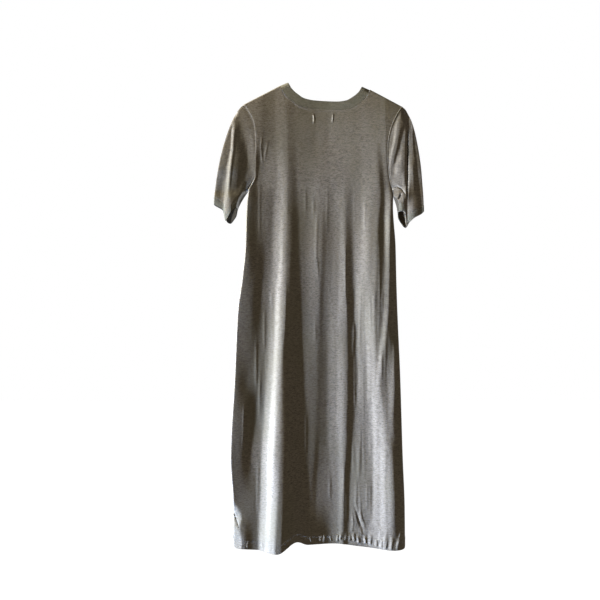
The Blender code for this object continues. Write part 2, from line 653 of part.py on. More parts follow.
# ---- neckband ----------------------------------------------------------------------------------
def neckband(panels, materials):
    """The folded band round the neck, from the neck seam up to its free edge."""
    back_grid, front_grid = (grid for grid, _ in panels)
    columns = list(range(LEFT_NECK_COLUMN, RIGHT_NECK_COLUMN + 1))
    marks = [(i, BACK) for i in columns] + [(i, FRONT) for i in reversed(columns[1:-1])]
    seam = []
    for i, side in marks:
        point = (back_grid if side == BACK else front_grid)[0][i].copy()
        if i in (LEFT_NECK_COLUMN, RIGHT_NECK_COLUMN):
            point.y = 0.0
        seam.append(point)
    middle = 0.5 * (NECK_LEFT.x + NECK_RIGHT.x)
    free = []
    for point, (i, side) in zip(seam, marks):
        t = (point.x - NECK_LEFT.x) / (NECK_RIGHT.x - NECK_LEFT.x)
        corner_height = NECK_LEFT.z + (NECK_RIGHT.z - NECK_LEFT.z) * t
        deepest = max(getattr(row, "back" if side == BACK else "front") for row in NECK_SEAM)
        fall = min((corner_height - point.z) / deepest, 1.0)
        rise = BAND_RISE_CORNER + (BAND_RISE_MIDDLE - BAND_RISE_CORNER) * fall
        free.append(Vector((middle + (point.x - middle) * BAND_DRAW_IN, point.y * BAND_LEAN,
                            point.z + rise)))
    rings = []
    for k in range(BAND_RINGS + 1):
        rings.append([a.lerp(b, k / BAND_RINGS) for a, b in zip(seam, free)])
    at_back = len(columns) // 2
    normals = facing(grid_normals(rings, closed=True), 1, at_back, Vector((0.0, BACK, 0.0)))
    panel_normals = [panels[0 if side == BACK else 1][1][0][i] for i, side in marks]
    corners = [k for k, (i, _) in enumerate(marks) if i in (LEFT_NECK_COLUMN, RIGHT_NECK_COLUMN)]
    joints = mitre(seam, panel_normals, normals[0], lambda k: rings[-1][k] - rings[0][k], corners)
    sew(joints, [(0, i, side) for i, side in marks], corners, panels, rings[0], normals[0])
    offsets = [[n * BAND_WALL / 2.0 for n in line] for line in normals]
    wall_object("neckband", rings, offsets, materials["band"], closed=True)


# ---- the dress ---------------------------------------------------------------------------------
def clear_scene():
    for obj in list(bpy.data.objects):
        bpy.data.objects.remove(obj, do_unlink=True)


def build():
    clear_scene()
    materials = {
        "jersey": cloth_material("jersey", JERSEY),
        "band": cloth_material("band_jersey", BAND_JERSEY),
    }
    panels = (panel(BACK), panel(FRONT))
    neckband(panels, materials)
    sleeve("left", panels, 0, LEFT_CUFF, (LEFT_BACK_SLEEVE, LEFT_FRONT_SLEEVE), materials)
    sleeve("right", panels, COLUMNS, RIGHT_CUFF, (RIGHT_BACK_SLEEVE, RIGHT_FRONT_SLEEVE), materials)
    for name, (grid, normals) in zip(("body_back", "body_front"), panels):
        offsets = []
        for j, line in enumerate(normals):
            wall = HEM_WALL if j >= len(normals) - 2 else WALL
            offsets.append([n * wall / 2.0 for n in line])
        wall_object(name, grid, offsets, materials["jersey"])


build()
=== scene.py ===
"""T-shirt dress of thin heathered jersey, hung empty from its shoulders and seen from the back.

Every cloth piece is a thin closed shell on the form of its CAD node, worked out on a fine grid
from the same outline and from finer tables of its folds, with the smaller creases laid over them.
Metres, +Z up; the back of the dress faces -Y. In the tables, drop is the distance below the
origin, and across runs towards +X.

Three tables of folds and the paths of the hem's puckers are numbers made by scratch programs from
the photo, as the comments beside them say. They were not chosen by hand.
"""

from collections import namedtuple
from math import pi

import bpy
import numpy as np
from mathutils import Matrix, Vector


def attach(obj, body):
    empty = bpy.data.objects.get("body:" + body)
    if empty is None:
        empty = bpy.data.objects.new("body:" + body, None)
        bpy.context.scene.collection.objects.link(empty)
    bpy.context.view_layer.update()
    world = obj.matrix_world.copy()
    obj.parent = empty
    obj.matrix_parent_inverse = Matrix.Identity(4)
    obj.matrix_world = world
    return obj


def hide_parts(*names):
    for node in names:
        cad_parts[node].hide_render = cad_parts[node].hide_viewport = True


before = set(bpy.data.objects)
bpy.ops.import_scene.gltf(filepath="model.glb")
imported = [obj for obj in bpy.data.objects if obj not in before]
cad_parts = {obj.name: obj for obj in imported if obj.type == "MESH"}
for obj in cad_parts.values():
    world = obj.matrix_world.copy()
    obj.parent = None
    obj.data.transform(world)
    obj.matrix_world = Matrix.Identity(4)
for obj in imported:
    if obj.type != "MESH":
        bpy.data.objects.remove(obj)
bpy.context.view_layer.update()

BACK, FRONT = -1.0, 1.0
MM = 0.001
TINY = 1e-12


def table(fields, *rows):
    """Rows of values whose columns are known by name."""
    row_kind = namedtuple("Row", fields)
    return [row_kind(*row) for row in rows]


# ---- cloth ----
CLOTH, TURNED = 0.0012, 0.0022           # thickness of the jersey; of turned hems and folded bands
RIM_ANGLE = pi / 5.0                     # edges that bend more than this are shaded as edges
SEAM_RIM, FREE_RIM = 0.3, 0.45           # how far the rims round out, in thicknesses
# Slots INSIDE, DEEP_SHADE and UNDER_SHADE take darker copies of the jersey that paint shade on the cloth.
OUTSIDE, INSIDE, DEEP_SHADE, UNDER_SHADE = 0, 1, 2, 3      # material slots of a shell
HEM_TURN = 0.0200
STITCH_ABOVE_HEM = 0.0205
STITCH_LONG, STITCH_STEP, STITCH_HALF = 0.0026, 0.0034, 0.00026
STITCH_START = 0.0020                    # a row's first stitch, from the row's end
STITCH_SHOULDERS, STITCH_LIFT = (0.22, 0.78), 0.4          # where a stitch is full, how far it stands out
NECK_STITCHES, HEM_STITCHES = (0.0022, 0.0058), (0.0014, 0.0046)

# ---- body: the same outline as the CAD ----
SHOULDER_LEFT = np.array((-0.1975, 0.0, -0.0180))
SHOULDER_RIGHT = np.array((0.1925, 0.0, -0.0250))
NECK_LEFT = np.array((-0.1100, 0.0, 0.0290))
NECK_RIGHT = np.array((0.1147, 0.0, 0.0185))
LEFT_NECK_SHARE, RIGHT_NECK_SHARE = 0.2246, 0.7503         # the neck corners, across the panel
UNDERARM_LEFT = np.array((-0.1875, 0.0, -0.2300))
UNDERARM_RIGHT = np.array((0.1715, 0.0, -0.2460))
SETTLE_LENGTH = 0.30                     # below the underarms, until the rows hang level
HEM_DROP = 1.0970
SHOULDER_ROLL = 0.0040
FALL_DROPS = (-0.030, 0.000, 0.030, 0.060, 0.100, 0.150, 0.210, 0.260)
FALL_SHARES = (0.42, 0.55, 0.68, 0.78, 0.87, 0.94, 0.985, 1.00)      # of the depth, below the shoulders
LINE_GAP = 0.0015                        # least distance between two lines of folds
RIM_PROUD = 0.0006                       # how far the left rim stands out past the first line

# How wide the cloth rolls over at a panel's sides, and the right rim's share of the last line's depth.
SIDES = table(
    "drop left right fall",
    (0.22, 0.0016, 0.0030, 1.00),
    (0.32, 0.0020, 0.0045, 0.98),
    (0.50, 0.0024, 0.0055, 0.94),
    (1.10, 0.0030, 0.0065, 0.88),
)

OUTLINE = table(
    "drop left right",
    (0.230, -0.1875, 0.1715),
    (0.275, -0.1925, 0.1705),
    (0.375, -0.1960, 0.1775),
    (0.455, -0.2040, 0.1795),
    (0.535, -0.2150, 0.1820),
    (0.695, -0.2225, 0.1885),
    (0.895, -0.2325, 0.1945),
    (1.005, -0.2255, 0.1990),
    (1.100, -0.2245, 0.2000),
)

# How far the neck seam lies below the neck corners, from its middle to its right end.
RIGHT_NECK_SEAM = table(
    "share back front",
    (0.00, 0.0565, 0.107),
    (0.28, 0.056, 0.103),
    (0.55, 0.051, 0.087),
    (0.74, 0.038, 0.061),
    (0.90, 0.021, 0.030),
    (1.00, 0.000, 0.000),
)
LEFT_NECK_SEAM = [point._replace(share=-point.share) for point in RIGHT_NECK_SEAM[:0:-1]]
NECK_SEAM = LEFT_NECK_SEAM + RIGHT_NECK_SEAM

ARMHOLE = table(
    "share left_in right_in front_in left_depth right_depth",
    (0.00, 0.0000, 0.0000, 0.0000, 1.00, 1.00),
    (0.12, 0.0150, 0.0140, 0.0000, 1.00, 1.00),
    (0.25, 0.0245, 0.0235, 0.0020, 1.00, 1.00),
    (0.40, 0.0255, 0.0275, 0.0050, 1.00, 0.99),
    (0.62, 0.0225, 0.0235, 0.0060, 1.00, 0.98),
    (0.82, 0.0205, 0.0150, 0.0040, 1.00, 0.97),
    (0.93, 0.0110, 0.0070, 0.0010, 0.93, 0.92),
    (1.00, 0.0000, 0.0000, 0.0000, 0.00, 0.00),
)

# Long folds, left to right: place across and depth (mm) of each crest, groove and bend at these drops.
# BACK_FOLDS was made by a scratch program: it turned places read from the photo into mm, and
# its depths are a least-squares fit of shading to the photo's brightness, changed in parts afterwards.
# FRONT_FOLDS was listed one by one and is the same as in part.py.
FOLD_FIELDS = "name across depth"
BACK_DROPS = (0.112, 0.210, 0.259, 0.308, 0.407, 0.505, 0.603, 0.702, 0.800, 0.898, 0.996, 1.070)
BACK_FOLDS = table(
    FOLD_FIELDS,
    ("left roll",
     (-156, -176, -182, -185, -187, -198, -208, -213, -216, -223, -217, -212),
     (30.6, 30.6, 32.4, 32.8, 35.3, 35.6, 35.3, 36.4, 38.2, 39.0, 40.2, 43.4)),
    ("side foot",
     (-144, -165, -161, -163, -166, -176, -182, -187, -199, -204, -205, -197),
     (29.8, 29.2, 29.9, 30.2, 32.4, 33.8, 33.3, 33.3, 36.8, 37.4, 39.4, 43.1)),
    ("valley",
     (-129, -146, -141, -141, -144, -154, -154, -163, -168, -178, -175, -175),
     (29.0, 28.5, 28.8, 28.9, 29.4, 29.8, 30.6, 31.8, 29.7, 33.3, 37.9, 40.3)),
    ("lower flank",
     (-119, -117, -122, -124, -129, -136, -141, -146, -154, -158, -162, -163),
     (28.7, 28.2, 27.9, 28.1, 28.7, 29.0, 30.2, 31.2, 29.3, 32.8, 37.2, 39.7)),
    ("inner flank",
     (-109, -107, -109, -112, -114, -122, -125, -130, -136, -141, -144, -148),
     (28.8, 29.1, 28.8, 29.3, 30.6, 30.5, 32.5, 34.9, 34.4, 39.2, 43.4, 47.0)),
    ("upper flank",
     (-101, -99, -100, -101, -102, -107, -111, -115, -118, -122, -127, -131),
     (29.0, 29.9, 30.1, 31.5, 34.6, 37.5, 40.5, 45.2, 52.1, 58.4, 60.5, 62.0)),
    ("main crest",
     (-92, -91, -92, -92, -94, -98, -102, -105, -106, -108, -113, -118),
     (29.0, 30.3, 30.8, 32.5, 35.7, 38.9, 42.5, 47.2, 54.1, 60.7, 66.0, 68.0)),
    ("crest back",
     (-82, -83, -84, -85, -86, -89, -93, -95, -96, -99, -103, -108),
     (28.5, 29.9, 30.4, 32.2, 35.4, 38.4, 41.2, 46.2, 53.4, 60.3, 65.8, 68.0)),
    ("steep end",
     (-70, -65, -62, -60, -59, -55, -53, -50, -50, -50, -50, -53),
     (27.9, 28.6, 28.5, 29.4, 31.5, 30.8, 29.1, 29.3, 30.6, 32.4, 37.5, 43.3)),
    ("small flank",
     (-35, -35, -35, -35, -38, -35, -35, -33, -38, -40, -40, -42),
     (26.9, 28.1, 27.9, 28.7, 30.7, 30.0, 28.4, 28.5, 29.5, 31.1, 33.8, 39.8)),
    ("small crest",
     (-16, -16, -11, -8, -11, -14, -17, -18, -21, -26, -31, -33),
     (26.5, 28.3, 28.4, 29.5, 31.4, 30.0, 28.1, 27.8, 28.6, 30.1, 32.7, 38.2)),
    ("small groove",
     (9, 7, 9, 9, 6, -1, -2, -3, -7, -13, -18, -18),
     (26.6, 28.4, 28.4, 28.8, 30.4, 28.9, 26.9, 26.5, 27.4, 28.6, 31.4, 35.3)),
    ("middle foot",
     (24, 24, 21, 21, 21, 11, 9, 9, 9, 14, 19, 19),
     (27.2, 28.7, 28.3, 28.6, 30.1, 28.5, 26.4, 25.8, 26.4, 27.4, 30.0, 31.0)),
    ("middle rise",
     (36, 36, 36, 36, 36, 31, 26, 29, 29, 32, 33, 32),
     (27.7, 29.0, 29.0, 29.1, 30.8, 29.3, 27.5, 27.0, 27.6, 28.4, 30.6, 31.3)),
    ("middle crest",
     (51, 53, 53, 51, 52, 52, 53, 53, 51, 50, 47, 45),
     (28.3, 29.7, 30.0, 30.5, 32.8, 32.3, 30.3, 30.4, 31.3, 31.1, 32.9, 33.0)),
    ("middle groove",
     (68, 67, 68, 69, 72, 75, 77, 80, 75, 67, 61, 59),
     (29.2, 30.0, 29.7, 29.8, 31.2, 29.7, 27.5, 27.3, 28.2, 28.9, 31.0, 31.4)),
    ("lit rise",
     (88, 88, 88, 88, 87, 85, 88, 90, 90, 78, 73, 73),
     (30.3, 30.8, 30.7, 31.1, 33.4, 31.8, 29.3, 29.1, 29.2, 29.5, 31.8, 32.2)),
    ("lit step",
     (105, 104, 105, 107, 109, 100, 102, 104, 105, 107, 112, 107),
     (31.5, 32.3, 33.3, 35.2, 39.1, 35.7, 32.2, 31.1, 30.5, 31.7, 35.3, 35.1)),
    ("lit flank",
     (118, 117, 119, 119, 119, 114, 114, 114, 118, 119, 119, 115),
     (32.4, 33.7, 35.1, 36.7, 40.3, 39.4, 37.0, 34.7, 33.5, 33.6, 36.0, 37.2)),
    ("right crest",
     (130, 134, 137, 131, 129, 126, 126, 123, 126, 128, 126, 124),
     (33.3, 35.0, 36.1, 37.6, 41.3, 41.4, 40.2, 38.5, 38.4, 38.1, 39.3, 39.7)),
    ("right groove",
     (137, 147, 148.5, 147, 147, 142, 136, 129, 136, 135, 137, 133),
     (33.8, 34.0, 34.8, 35.2, 39.7, 40.8, 40.5, 40.6, 42.4, 41.5, 43.6, 43.1)),
    ("side ridge",
     (142, 151, 158, 161, 160, 159, 149, 136, 146, 148, 147, 147),
     (34.2, 34.0, 36.2, 39.2, 42.0, 42.6, 44.3, 43.1, 45.9, 49.3, 49.8, 50.3)),
    ("side groove",
     (147, 153, 162, 165, 168, 169, 159, 154, 156, 166, 168, 169),
     (34.6, 34.1, 36.7, 38.8, 36.5, 37.2, 43.8, 43.3, 47.1, 52.9, 56.0, 55.0)),
    ("outer roll",
     (151, 155.5, 165.5, 168, 171, 176, 171, 171, 167, 176, 181, 183),
     (34.9, 34.1, 36.6, 37.8, 34.9, 36.9, 42.5, 45.5, 48.4, 51.0, 53.3, 53.6)),
)
FRONT_DROPS = (0.130, 0.280, 0.430, 0.580, 0.800, 1.060)
FRONT_FOLDS = table(
    FOLD_FIELDS,
    ("left roll",     (-146, -166, -172, -184, -196, -196), (29, 33, 37, 42, 50, 60)),
    ("left groove",   (-110, -118, -120, -126, -134, -138), (31, 28, 25, 25, 28, 36)),
    ("left crest",    (-78, -80, -82, -86, -92, -98), (31, 32, 34, 36, 42, 52)),
    ("centre groove", (-34, -36, -38, -42, -48, -54), (31, 30, 27, 25, 25, 29)),
    ("centre crest",  (4, 4, 2, 2, 4, 6), (31, 32, 33, 36, 41, 48)),
    ("centre foot",   (44, 46, 46, 50, 56, 58), (31, 30, 28, 26, 27, 31)),
    ("right crest",   (86, 84, 86, 92, 100, 108), (31, 32, 36, 41, 52, 66)),
    ("right groove",  (118, 122, 124, 132, 142, 150), (30, 27, 25, 25, 28, 36)),
    ("right roll",    (136, 146, 152, 160, 172, 178), (28, 32, 36, 40, 46, 54)),
)

# Small creases: their paths across and down, reach to each side and height, in mm. Most paths are
# points read from the photo, which a scratch script turned into mm.
CREASE_FIELDS = "path left right high"
CREASE_TAPER = 0.30                      # share of its path over which each end of a crease rises
# Cloth in a crease deeper than this gets darker jersey: painted shade.
SLEEVE_TUCK, BODY_TUCK = 0.0009, 0.0013  # creases deeper than this hold shade
BACK_CREASES = table(
    CREASE_FIELDS,
    # left label tack
    (((-27.5, 42.8), (-24.5, 56.4), (-26, 69.9)), 3.2, 1.8, 1.7),
    # right label tack
    (((22.8, 42.8), (20.9, 55.1), (20.4, 67.5)), 2.2, 2, 1.2),
    # armhole drag
    (((-153.7, 95.8), (-156.1, 130.3), (-151.2, 174.7)), 4, 4, 0.35),
    (((-137.6, 110.6), (-143.8, 140.2), (-147.5, 167.3)), 4, 3, 0.35),
    # curl line
    (((-229.5, 1007), (-217.6, 1040), (-206, 1072)), 2.2, 2.2, -2.2),
    # low drag
    (((72.6, 1003.6), (80, 1030.6), (89.8, 1060.1), (100.9, 1082.2)), 4, 3.5, -1.6),
    (((86.1, 1018.4), (93.5, 1045.4), (103.3, 1069.9)), 4, 3, 1),
    (((67.7, 1025.7), (71.4, 1055.2), (64, 1082.2)), 3.5, 3.5, 0.9),
    (((124.5, 1042.6), (136.7, 1071.9), (131.8, 1106.2)), 4, 4, 1),
    (((154.7, 1061.3), (147.4, 1083.3), (142.5, 1110.1)), 3.5, 3.5, 1.4),
    # corner drag
    (((192, 1050.4), (184.7, 1079.7), (175, 1108.9)), 5, 4, 1.8),
    # puckers along the hem: a scratch script made these paths from heights read one by one, with the
    # lean of each drawn at random
    (((-5.9, 1084.2), (-7.9, 1091.5), (-9, 1098.8)), 6.5, 4.1, 1),
    (((3.4, 1081.7), (0.4, 1091.5), (-1.2, 1101.3)), 6.5, 3, 1.3),
    (((33.5, 1081.7), (32.7, 1091.5), (32.3, 1101.3)), 5.13, 4.05, 1.22),
    (((42.2, 1079.3), (39.6, 1087.8), (38.2, 1096.4)), 4.32, 5.54, 1.35),
    (((56.9, 1076.8), (53.6, 1087.8), (51.8, 1098.8)), 5.13, 6.88, 1.08),
    (((64.2, 1079.3), (63.5, 1089.1), (63.1, 1098.8)), 8.78, 4.73, 1.22),
    (((69.5, 1076.8), (72.7, 1088.4), (74.4, 1100.1)), 5.13, 6.88, 1.76),
    (((81.2, 1081.7), (83.5, 1093.3), (84.7, 1104.9)), 5.13, 6.88, 1.76),
    (((98.5, 1086.6), (100.5, 1095.2), (101.6, 1103.7)), 5.12, 5.6, 2.98),
    (((115.1, 1079.3), (113, 1093.9), (111.9, 1108.6)), 6.08, 5.6, 1.75),
    (((126.7, 1089.1), (127, 1100.1), (127.2, 1111)), 5.12, 5.6, 1.75),
    (((140.5, 1086.6), (138.8, 1100.1), (137.9, 1113.5)), 6.08, 5.6, 2.27),
    (((152.1, 1081.7), (149.6, 1098.2), (148.2, 1114.7)), 7.36, 5.6, 2.1),
    (((165.9, 1081.7), (162.9, 1098.8), (161.3, 1115.9)), 6.08, 5.6, 2),
    (((181.2, 1086.6), (179, 1101.9), (177.8, 1117.2)), 7.36, 4.8, 1.7),
    (((186.8, 1081.7), (190, 1098.8), (191.8, 1115.9)), 8.64, 5.6, 1.57),
    (((-35, 1084.2), (-32.5, 1091.5), (-31.2, 1098.8)), 4.6, 3, 0.7),
    (((14, 1084.2), (16.3, 1091.5), (17.6, 1098.8)), 4.6, 3, 0.7),
    (((-154.6, 1093.9), (-152.3, 1103.7), (-151.1, 1113.5)), 3.2, 4.1, 0.5),
    (((-185.3, 1093.9), (-187.6, 1103.7), (-188.9, 1113.5)), 4.6, 5.1, 0.7),
    (((-85.8, 1093.9), (-87.2, 1103.7), (-88, 1113.5)), 3.8, 5.1, 0.7),
)
LEFT_SLEEVE_CREASES = table(
    CREASE_FIELDS,
    # ridge
    (((-221.5, 40.9), (-223.7, 65.6), (-225.6, 134.7), (-232.2, 184.1), (-236.6, 233.4),
      (-239.4, 277.9)), 3.8, 8, 1.2),
)
RIGHT_SLEEVE_CREASES = table(
    CREASE_FIELDS,
    # deep valley
    (((207.5, 52), (206.5, 80), (205.6, 134.7), (204.4, 221.0), (200.8, 285.7)), 3.0, 4.2, -2.4),
    # knot
    (((167.0, 251.0), (176.0, 243.0), (188.0, 243.0)), 8, 8, 0.7),
    # over the knot
    (((164.0, 236.0), (168.5, 228.0), (178.0, 226.0), (188.5, 231.0), (196.0, 241.5),
      (199.0, 256.0)), 2.4, 2.4, -1.4),
    # hollow
    (((187.5, 243.0), (187.0, 248.0), (186.0, 255.0)), 3.0, 3.0, -1.8),
    # along the knot
    (((165.0, 231.0), (167.5, 240.0), (173.0, 249.0), (179.0, 256.0)), 1.8, 1.8, -1.3),
    # slot
    (((209.0, 308.0), (208.0, 315.0), (205.5, 323.0)), 2.0, 2.0, -1.6),
    # inside lobe
    (((192.7, 248.6), (192.2, 268.4), (193.4, 285.6)), 4, 3.5, 0.5),
)

# The curl in the back panel's side edge near the hem: the line where the cloth turns back, in points
# read from the photo, which a scratch script turned into metres down and mm across.
CURL_SLOPE = 0.40 / 0.042                # share of the depth lost for each metre beyond that line
CURL = table(
    "drop across",
    (1.0097, -216.8),
    (1.0219, -209.9),
    (1.0367, -203.1),
    (1.0489, -205.0),
    (1.0624, -210.4),
    (1.0758, -207.0),
    (1.0954, -202.1),
    (1.1150, -204.5),
    (1.1224, -205.8),
)

# The same kinds of small creases elsewhere on the dress, scattered by the same seed every time.
random = np.random.default_rng(671)
MIDDLE_SWAY = 0.6                        # how far a crease's middle strays, as a share of its tilt


def scattered(count, across, drops, long, wide, high, lean):
    """Small creases at seeded places inside a field, all in mm."""
    rows = []
    for _ in range(count):
        x, z = random.uniform(*across), random.uniform(*drops)
        half, tilt = 0.5 * random.uniform(*long), random.uniform(-lean, lean)
        sway = random.uniform(-MIDDLE_SWAY, MIDDLE_SWAY)
        path = ((x - tilt * half, z - half), (x + sway * tilt * half, z), (x + tilt * half, z + half))
        rows.append((path, random.uniform(*wide), random.uniform(*wide), random.uniform(*high)))
    return table(CREASE_FIELDS, *rows)


# streaks down the cloth, in the lit part and everywhere
BACK_CREASES += scattered(70, (10, 190), (480, 1050), (50, 190), (3.0, 6.0), (0.1, 0.42), 0.03)
BACK_CREASES += scattered(60, (-200, 150), (250, 1040), (50, 190), (3.5, 7.0), (0.1, 0.4), 0.03)
FRONT_CREASES = scattered(90, (-200, 185), (240, 1050), (50, 190), (3.5, 7.0), (0.15, 0.5), 0.03)
# puckers along the front hem, drags from the two armholes, and low drags
FRONT_CREASES += scattered(22, (-205, 195), (1096, 1104), (10, 20), (2.2, 2.8), (0.6, 1.4), 0.16)
FRONT_CREASES += scattered(5, (-175, -150), (150, 200), (25, 40), (3.0, 4.5), (0.4, 0.7), 0.15)
FRONT_CREASES += scattered(5, (135, 160), (150, 200), (25, 40), (3.0, 4.5), (0.4, 0.7), 0.15)
FRONT_CREASES += scattered(8, (-60, 150), (1010, 1060), (30, 50), (3.0, 4.5), (0.7, 1.5), 0.30)

HEM_FROM_DROP = 0.900
CORNER_RISE, CORNER_REACH = 0.0060, 0.0100       # the hem's corners are rounded
HEM_LINE = table(
    "across back front",
    (-0.2250, 0.0150, 0.0150),
    (-0.2000, 0.0170, 0.0165),
    (-0.1600, 0.0200, 0.0110),
    (-0.1160, 0.0225, 0.0150),
    (-0.0680, -0.0020, 0.0090),
    (-0.0400, 0.0075, 0.0060),
    (0.0280, 0.0065, 0.0120),
    (0.0750, 0.0115, 0.0070),
    (0.1230, 0.0155, 0.0160),
    (0.1700, 0.0170, 0.0150),
    (0.2000, 0.0150, 0.0150),
)

# ---- neckband ----
BAND_DRAW_IN, BAND_LEAN = 0.83, 0.88
BAND_RISE_CORNER, BAND_RISE_MIDDLE = 0.0085, 0.0200

# ---- sleeves ----
CUFF_WIDTH = 0.0220
CUFF_FIELDS = "share back_x back_depth back_drop front_x front_depth front_drop"
LEFT_CUFF = table(
    CUFF_FIELDS,
    (0.00, -0.2730, 0.000, 0.2680, -0.2730, 0.000, 0.2680),
    (0.20, -0.2660, 0.014, 0.2730, -0.2640, 0.024, 0.2715),
    (0.38, -0.2500, 0.028, 0.2835, -0.2520, 0.041, 0.2810),
    (0.52, -0.2420, 0.036, 0.3100, -0.2465, 0.050, 0.3050),
    (0.64, -0.2340, 0.038, 0.2960, -0.2375, 0.050, 0.3095),
    (0.76, -0.2260, 0.032, 0.2845, -0.2290, 0.038, 0.3020),
    (0.88, -0.2195, 0.018, 0.2795, -0.2215, 0.020, 0.2920),
    (1.00, -0.2175, 0.000, 0.2775, -0.2175, 0.000, 0.2775),
)
RIGHT_CUFF = table(
    CUFF_FIELDS,
    (0.00, 0.2465, 0.000, 0.2850, 0.2465, 0.000, 0.2850),
    (0.20, 0.2380, 0.022, 0.2930, 0.2390, 0.024, 0.2880),
    (0.40, 0.2200, 0.041, 0.3030, 0.2230, 0.042, 0.3000),
    (0.55, 0.2065, 0.050, 0.3150, 0.2100, 0.050, 0.3200),
    (0.64, 0.2005, 0.046, 0.3190, 0.2045, 0.047, 0.3180),
    (0.72, 0.1985, 0.038, 0.2980, 0.1985, 0.041, 0.3110),
    (0.86, 0.1930, 0.020, 0.2830, 0.1890, 0.022, 0.2970),
    (1.00, 0.1860, 0.000, 0.2820, 0.1860, 0.000, 0.2820),
)
LEAVE_TOP = np.array((0.134, 0.000, 0.087))
LEAVE_SIDE = np.array((0.062, 0.045, 0.090))
LEAVE_UNDER = np.array((0.046, 0.000, 0.010))
ARRIVE_TOP, ARRIVE_SIDE, ARRIVE_UNDER = 0.180, 0.110, 0.045

# The back of each sleeve: lines of its folds, places across and depths (mm) at these drops.
# Both tables were made by a scratch program: it found the outer edge by a scan of the photo, spaced
# the lines from points read one by one, and fitted the depths to the photo's brightness. Rows of depths
# were shifted afterwards, and the first column was added.
LEFT_SLEEVE_DROPS = (0.021, 0.041, 0.061, 0.085, 0.110, 0.135, 0.159, 0.184, 0.209, 0.233, 0.253, 0.273)
LEFT_SLEEVE_FOLDS = table(
    FOLD_FIELDS,
    ("edge",
     (-216, -216, -225, -235, -240, -245, -253, -258, -263, -265, -268, -268),
     (19.6, 20.5, 24.6, 27.1, 29.5, 32.1, 33.6, 34.6, 33.3, 33.0, 35.6, 36.0)),
    ("strip",
     (-214, -214, -224, -234, -237, -241, -247, -252, -256, -259, -261, -262),
     (19.6, 22.5, 25.0, 27.2, 29.5, 31.9, 33.5, 34.5, 33.1, 32.7, 35.3, 36.2)),
    ("ridge foot",
     (-212, -212, -222, -232, -234, -236, -241, -246, -249, -252, -255, -257),
     (19.6, 22.5, 25.3, 27.1, 29.4, 31.8, 33.3, 34.2, 32.8, 32.3, 35.0, 36.2)),
    ("ridge flank",
     (-210, -210, -220, -229, -231, -232, -237, -241, -243, -246, -248, -250),
     (19.6, 22.5, 25.4, 27.0, 29.3, 31.7, 33.1, 34.1, 32.9, 32.7, 35.3, 36.2)),
    ("ridge",
     (-208, -208, -218, -226, -227, -228, -232, -236, -238, -239, -240, -242),
     (19.6, 22.5, 25.3, 27.5, 29.8, 32.7, 34.2, 35.2, 34.3, 34.4, 37.5, 38.6)),
    ("ridge back",
     (-207, -207, -217, -220, -221, -222, -224.5, -227, -229, -230, -231.5, -232.5),
     (19.6, 22.5, 25.2, 28.6, 30.4, 33.2, 34.9, 36.4, 35.5, 35.5, 38.9, 39.8)),
    ("slope 30",
     (-205, -205, -207, -206, -206, -207, -210, -213, -216, -220, -224, -230),
     (19.6, 22.5, 24.8, 27.0, 28.7, 31.7, 33.9, 35.4, 34.7, 34.8, 38.4, 39.8)),
    ("slope 52",
     (-200, -200, -198, -195, -195, -196, -198, -201, -205, -211, -217, -226),
     (19.6, 22.5, 24.6, 26.5, 27.7, 29.2, 31.1, 32.7, 32.8, 33.9, 37.7, 39.0)),
    ("slope 72",
     (-195, -195, -190, -186, -185, -186, -187, -190, -195, -202, -210, -222),
     (19.6, 22.5, 24.5, 26.4, 27.5, 28.6, 29.5, 30.7, 31.4, 32.9, 36.4, 37.8)),
    ("slope 88",
     (-191, -191, -184, -179, -178, -178, -178, -181, -187, -196, -205, -219),
     (19.6, 22.5, 24.4, 26.2, 27.6, 28.7, 29.5, 30.2, 30.8, 29.0, 30.4, 36.5)),
    ("inner edge",
     (-187, -187, -178, -172, -171, -171, -171, -173, -180, -190, -201, -216),
     (19.6, 22.5, 24.4, 26.2, 27.7, 28.8, 29.6, 30.3, 30.2, 28.0, 25.5, 35.5)),
)
RIGHT_SLEEVE_DROPS = (0.028, 0.046, 0.066, 0.085, 0.110, 0.135, 0.159, 0.184, 0.209, 0.228, 0.253, 0.278)
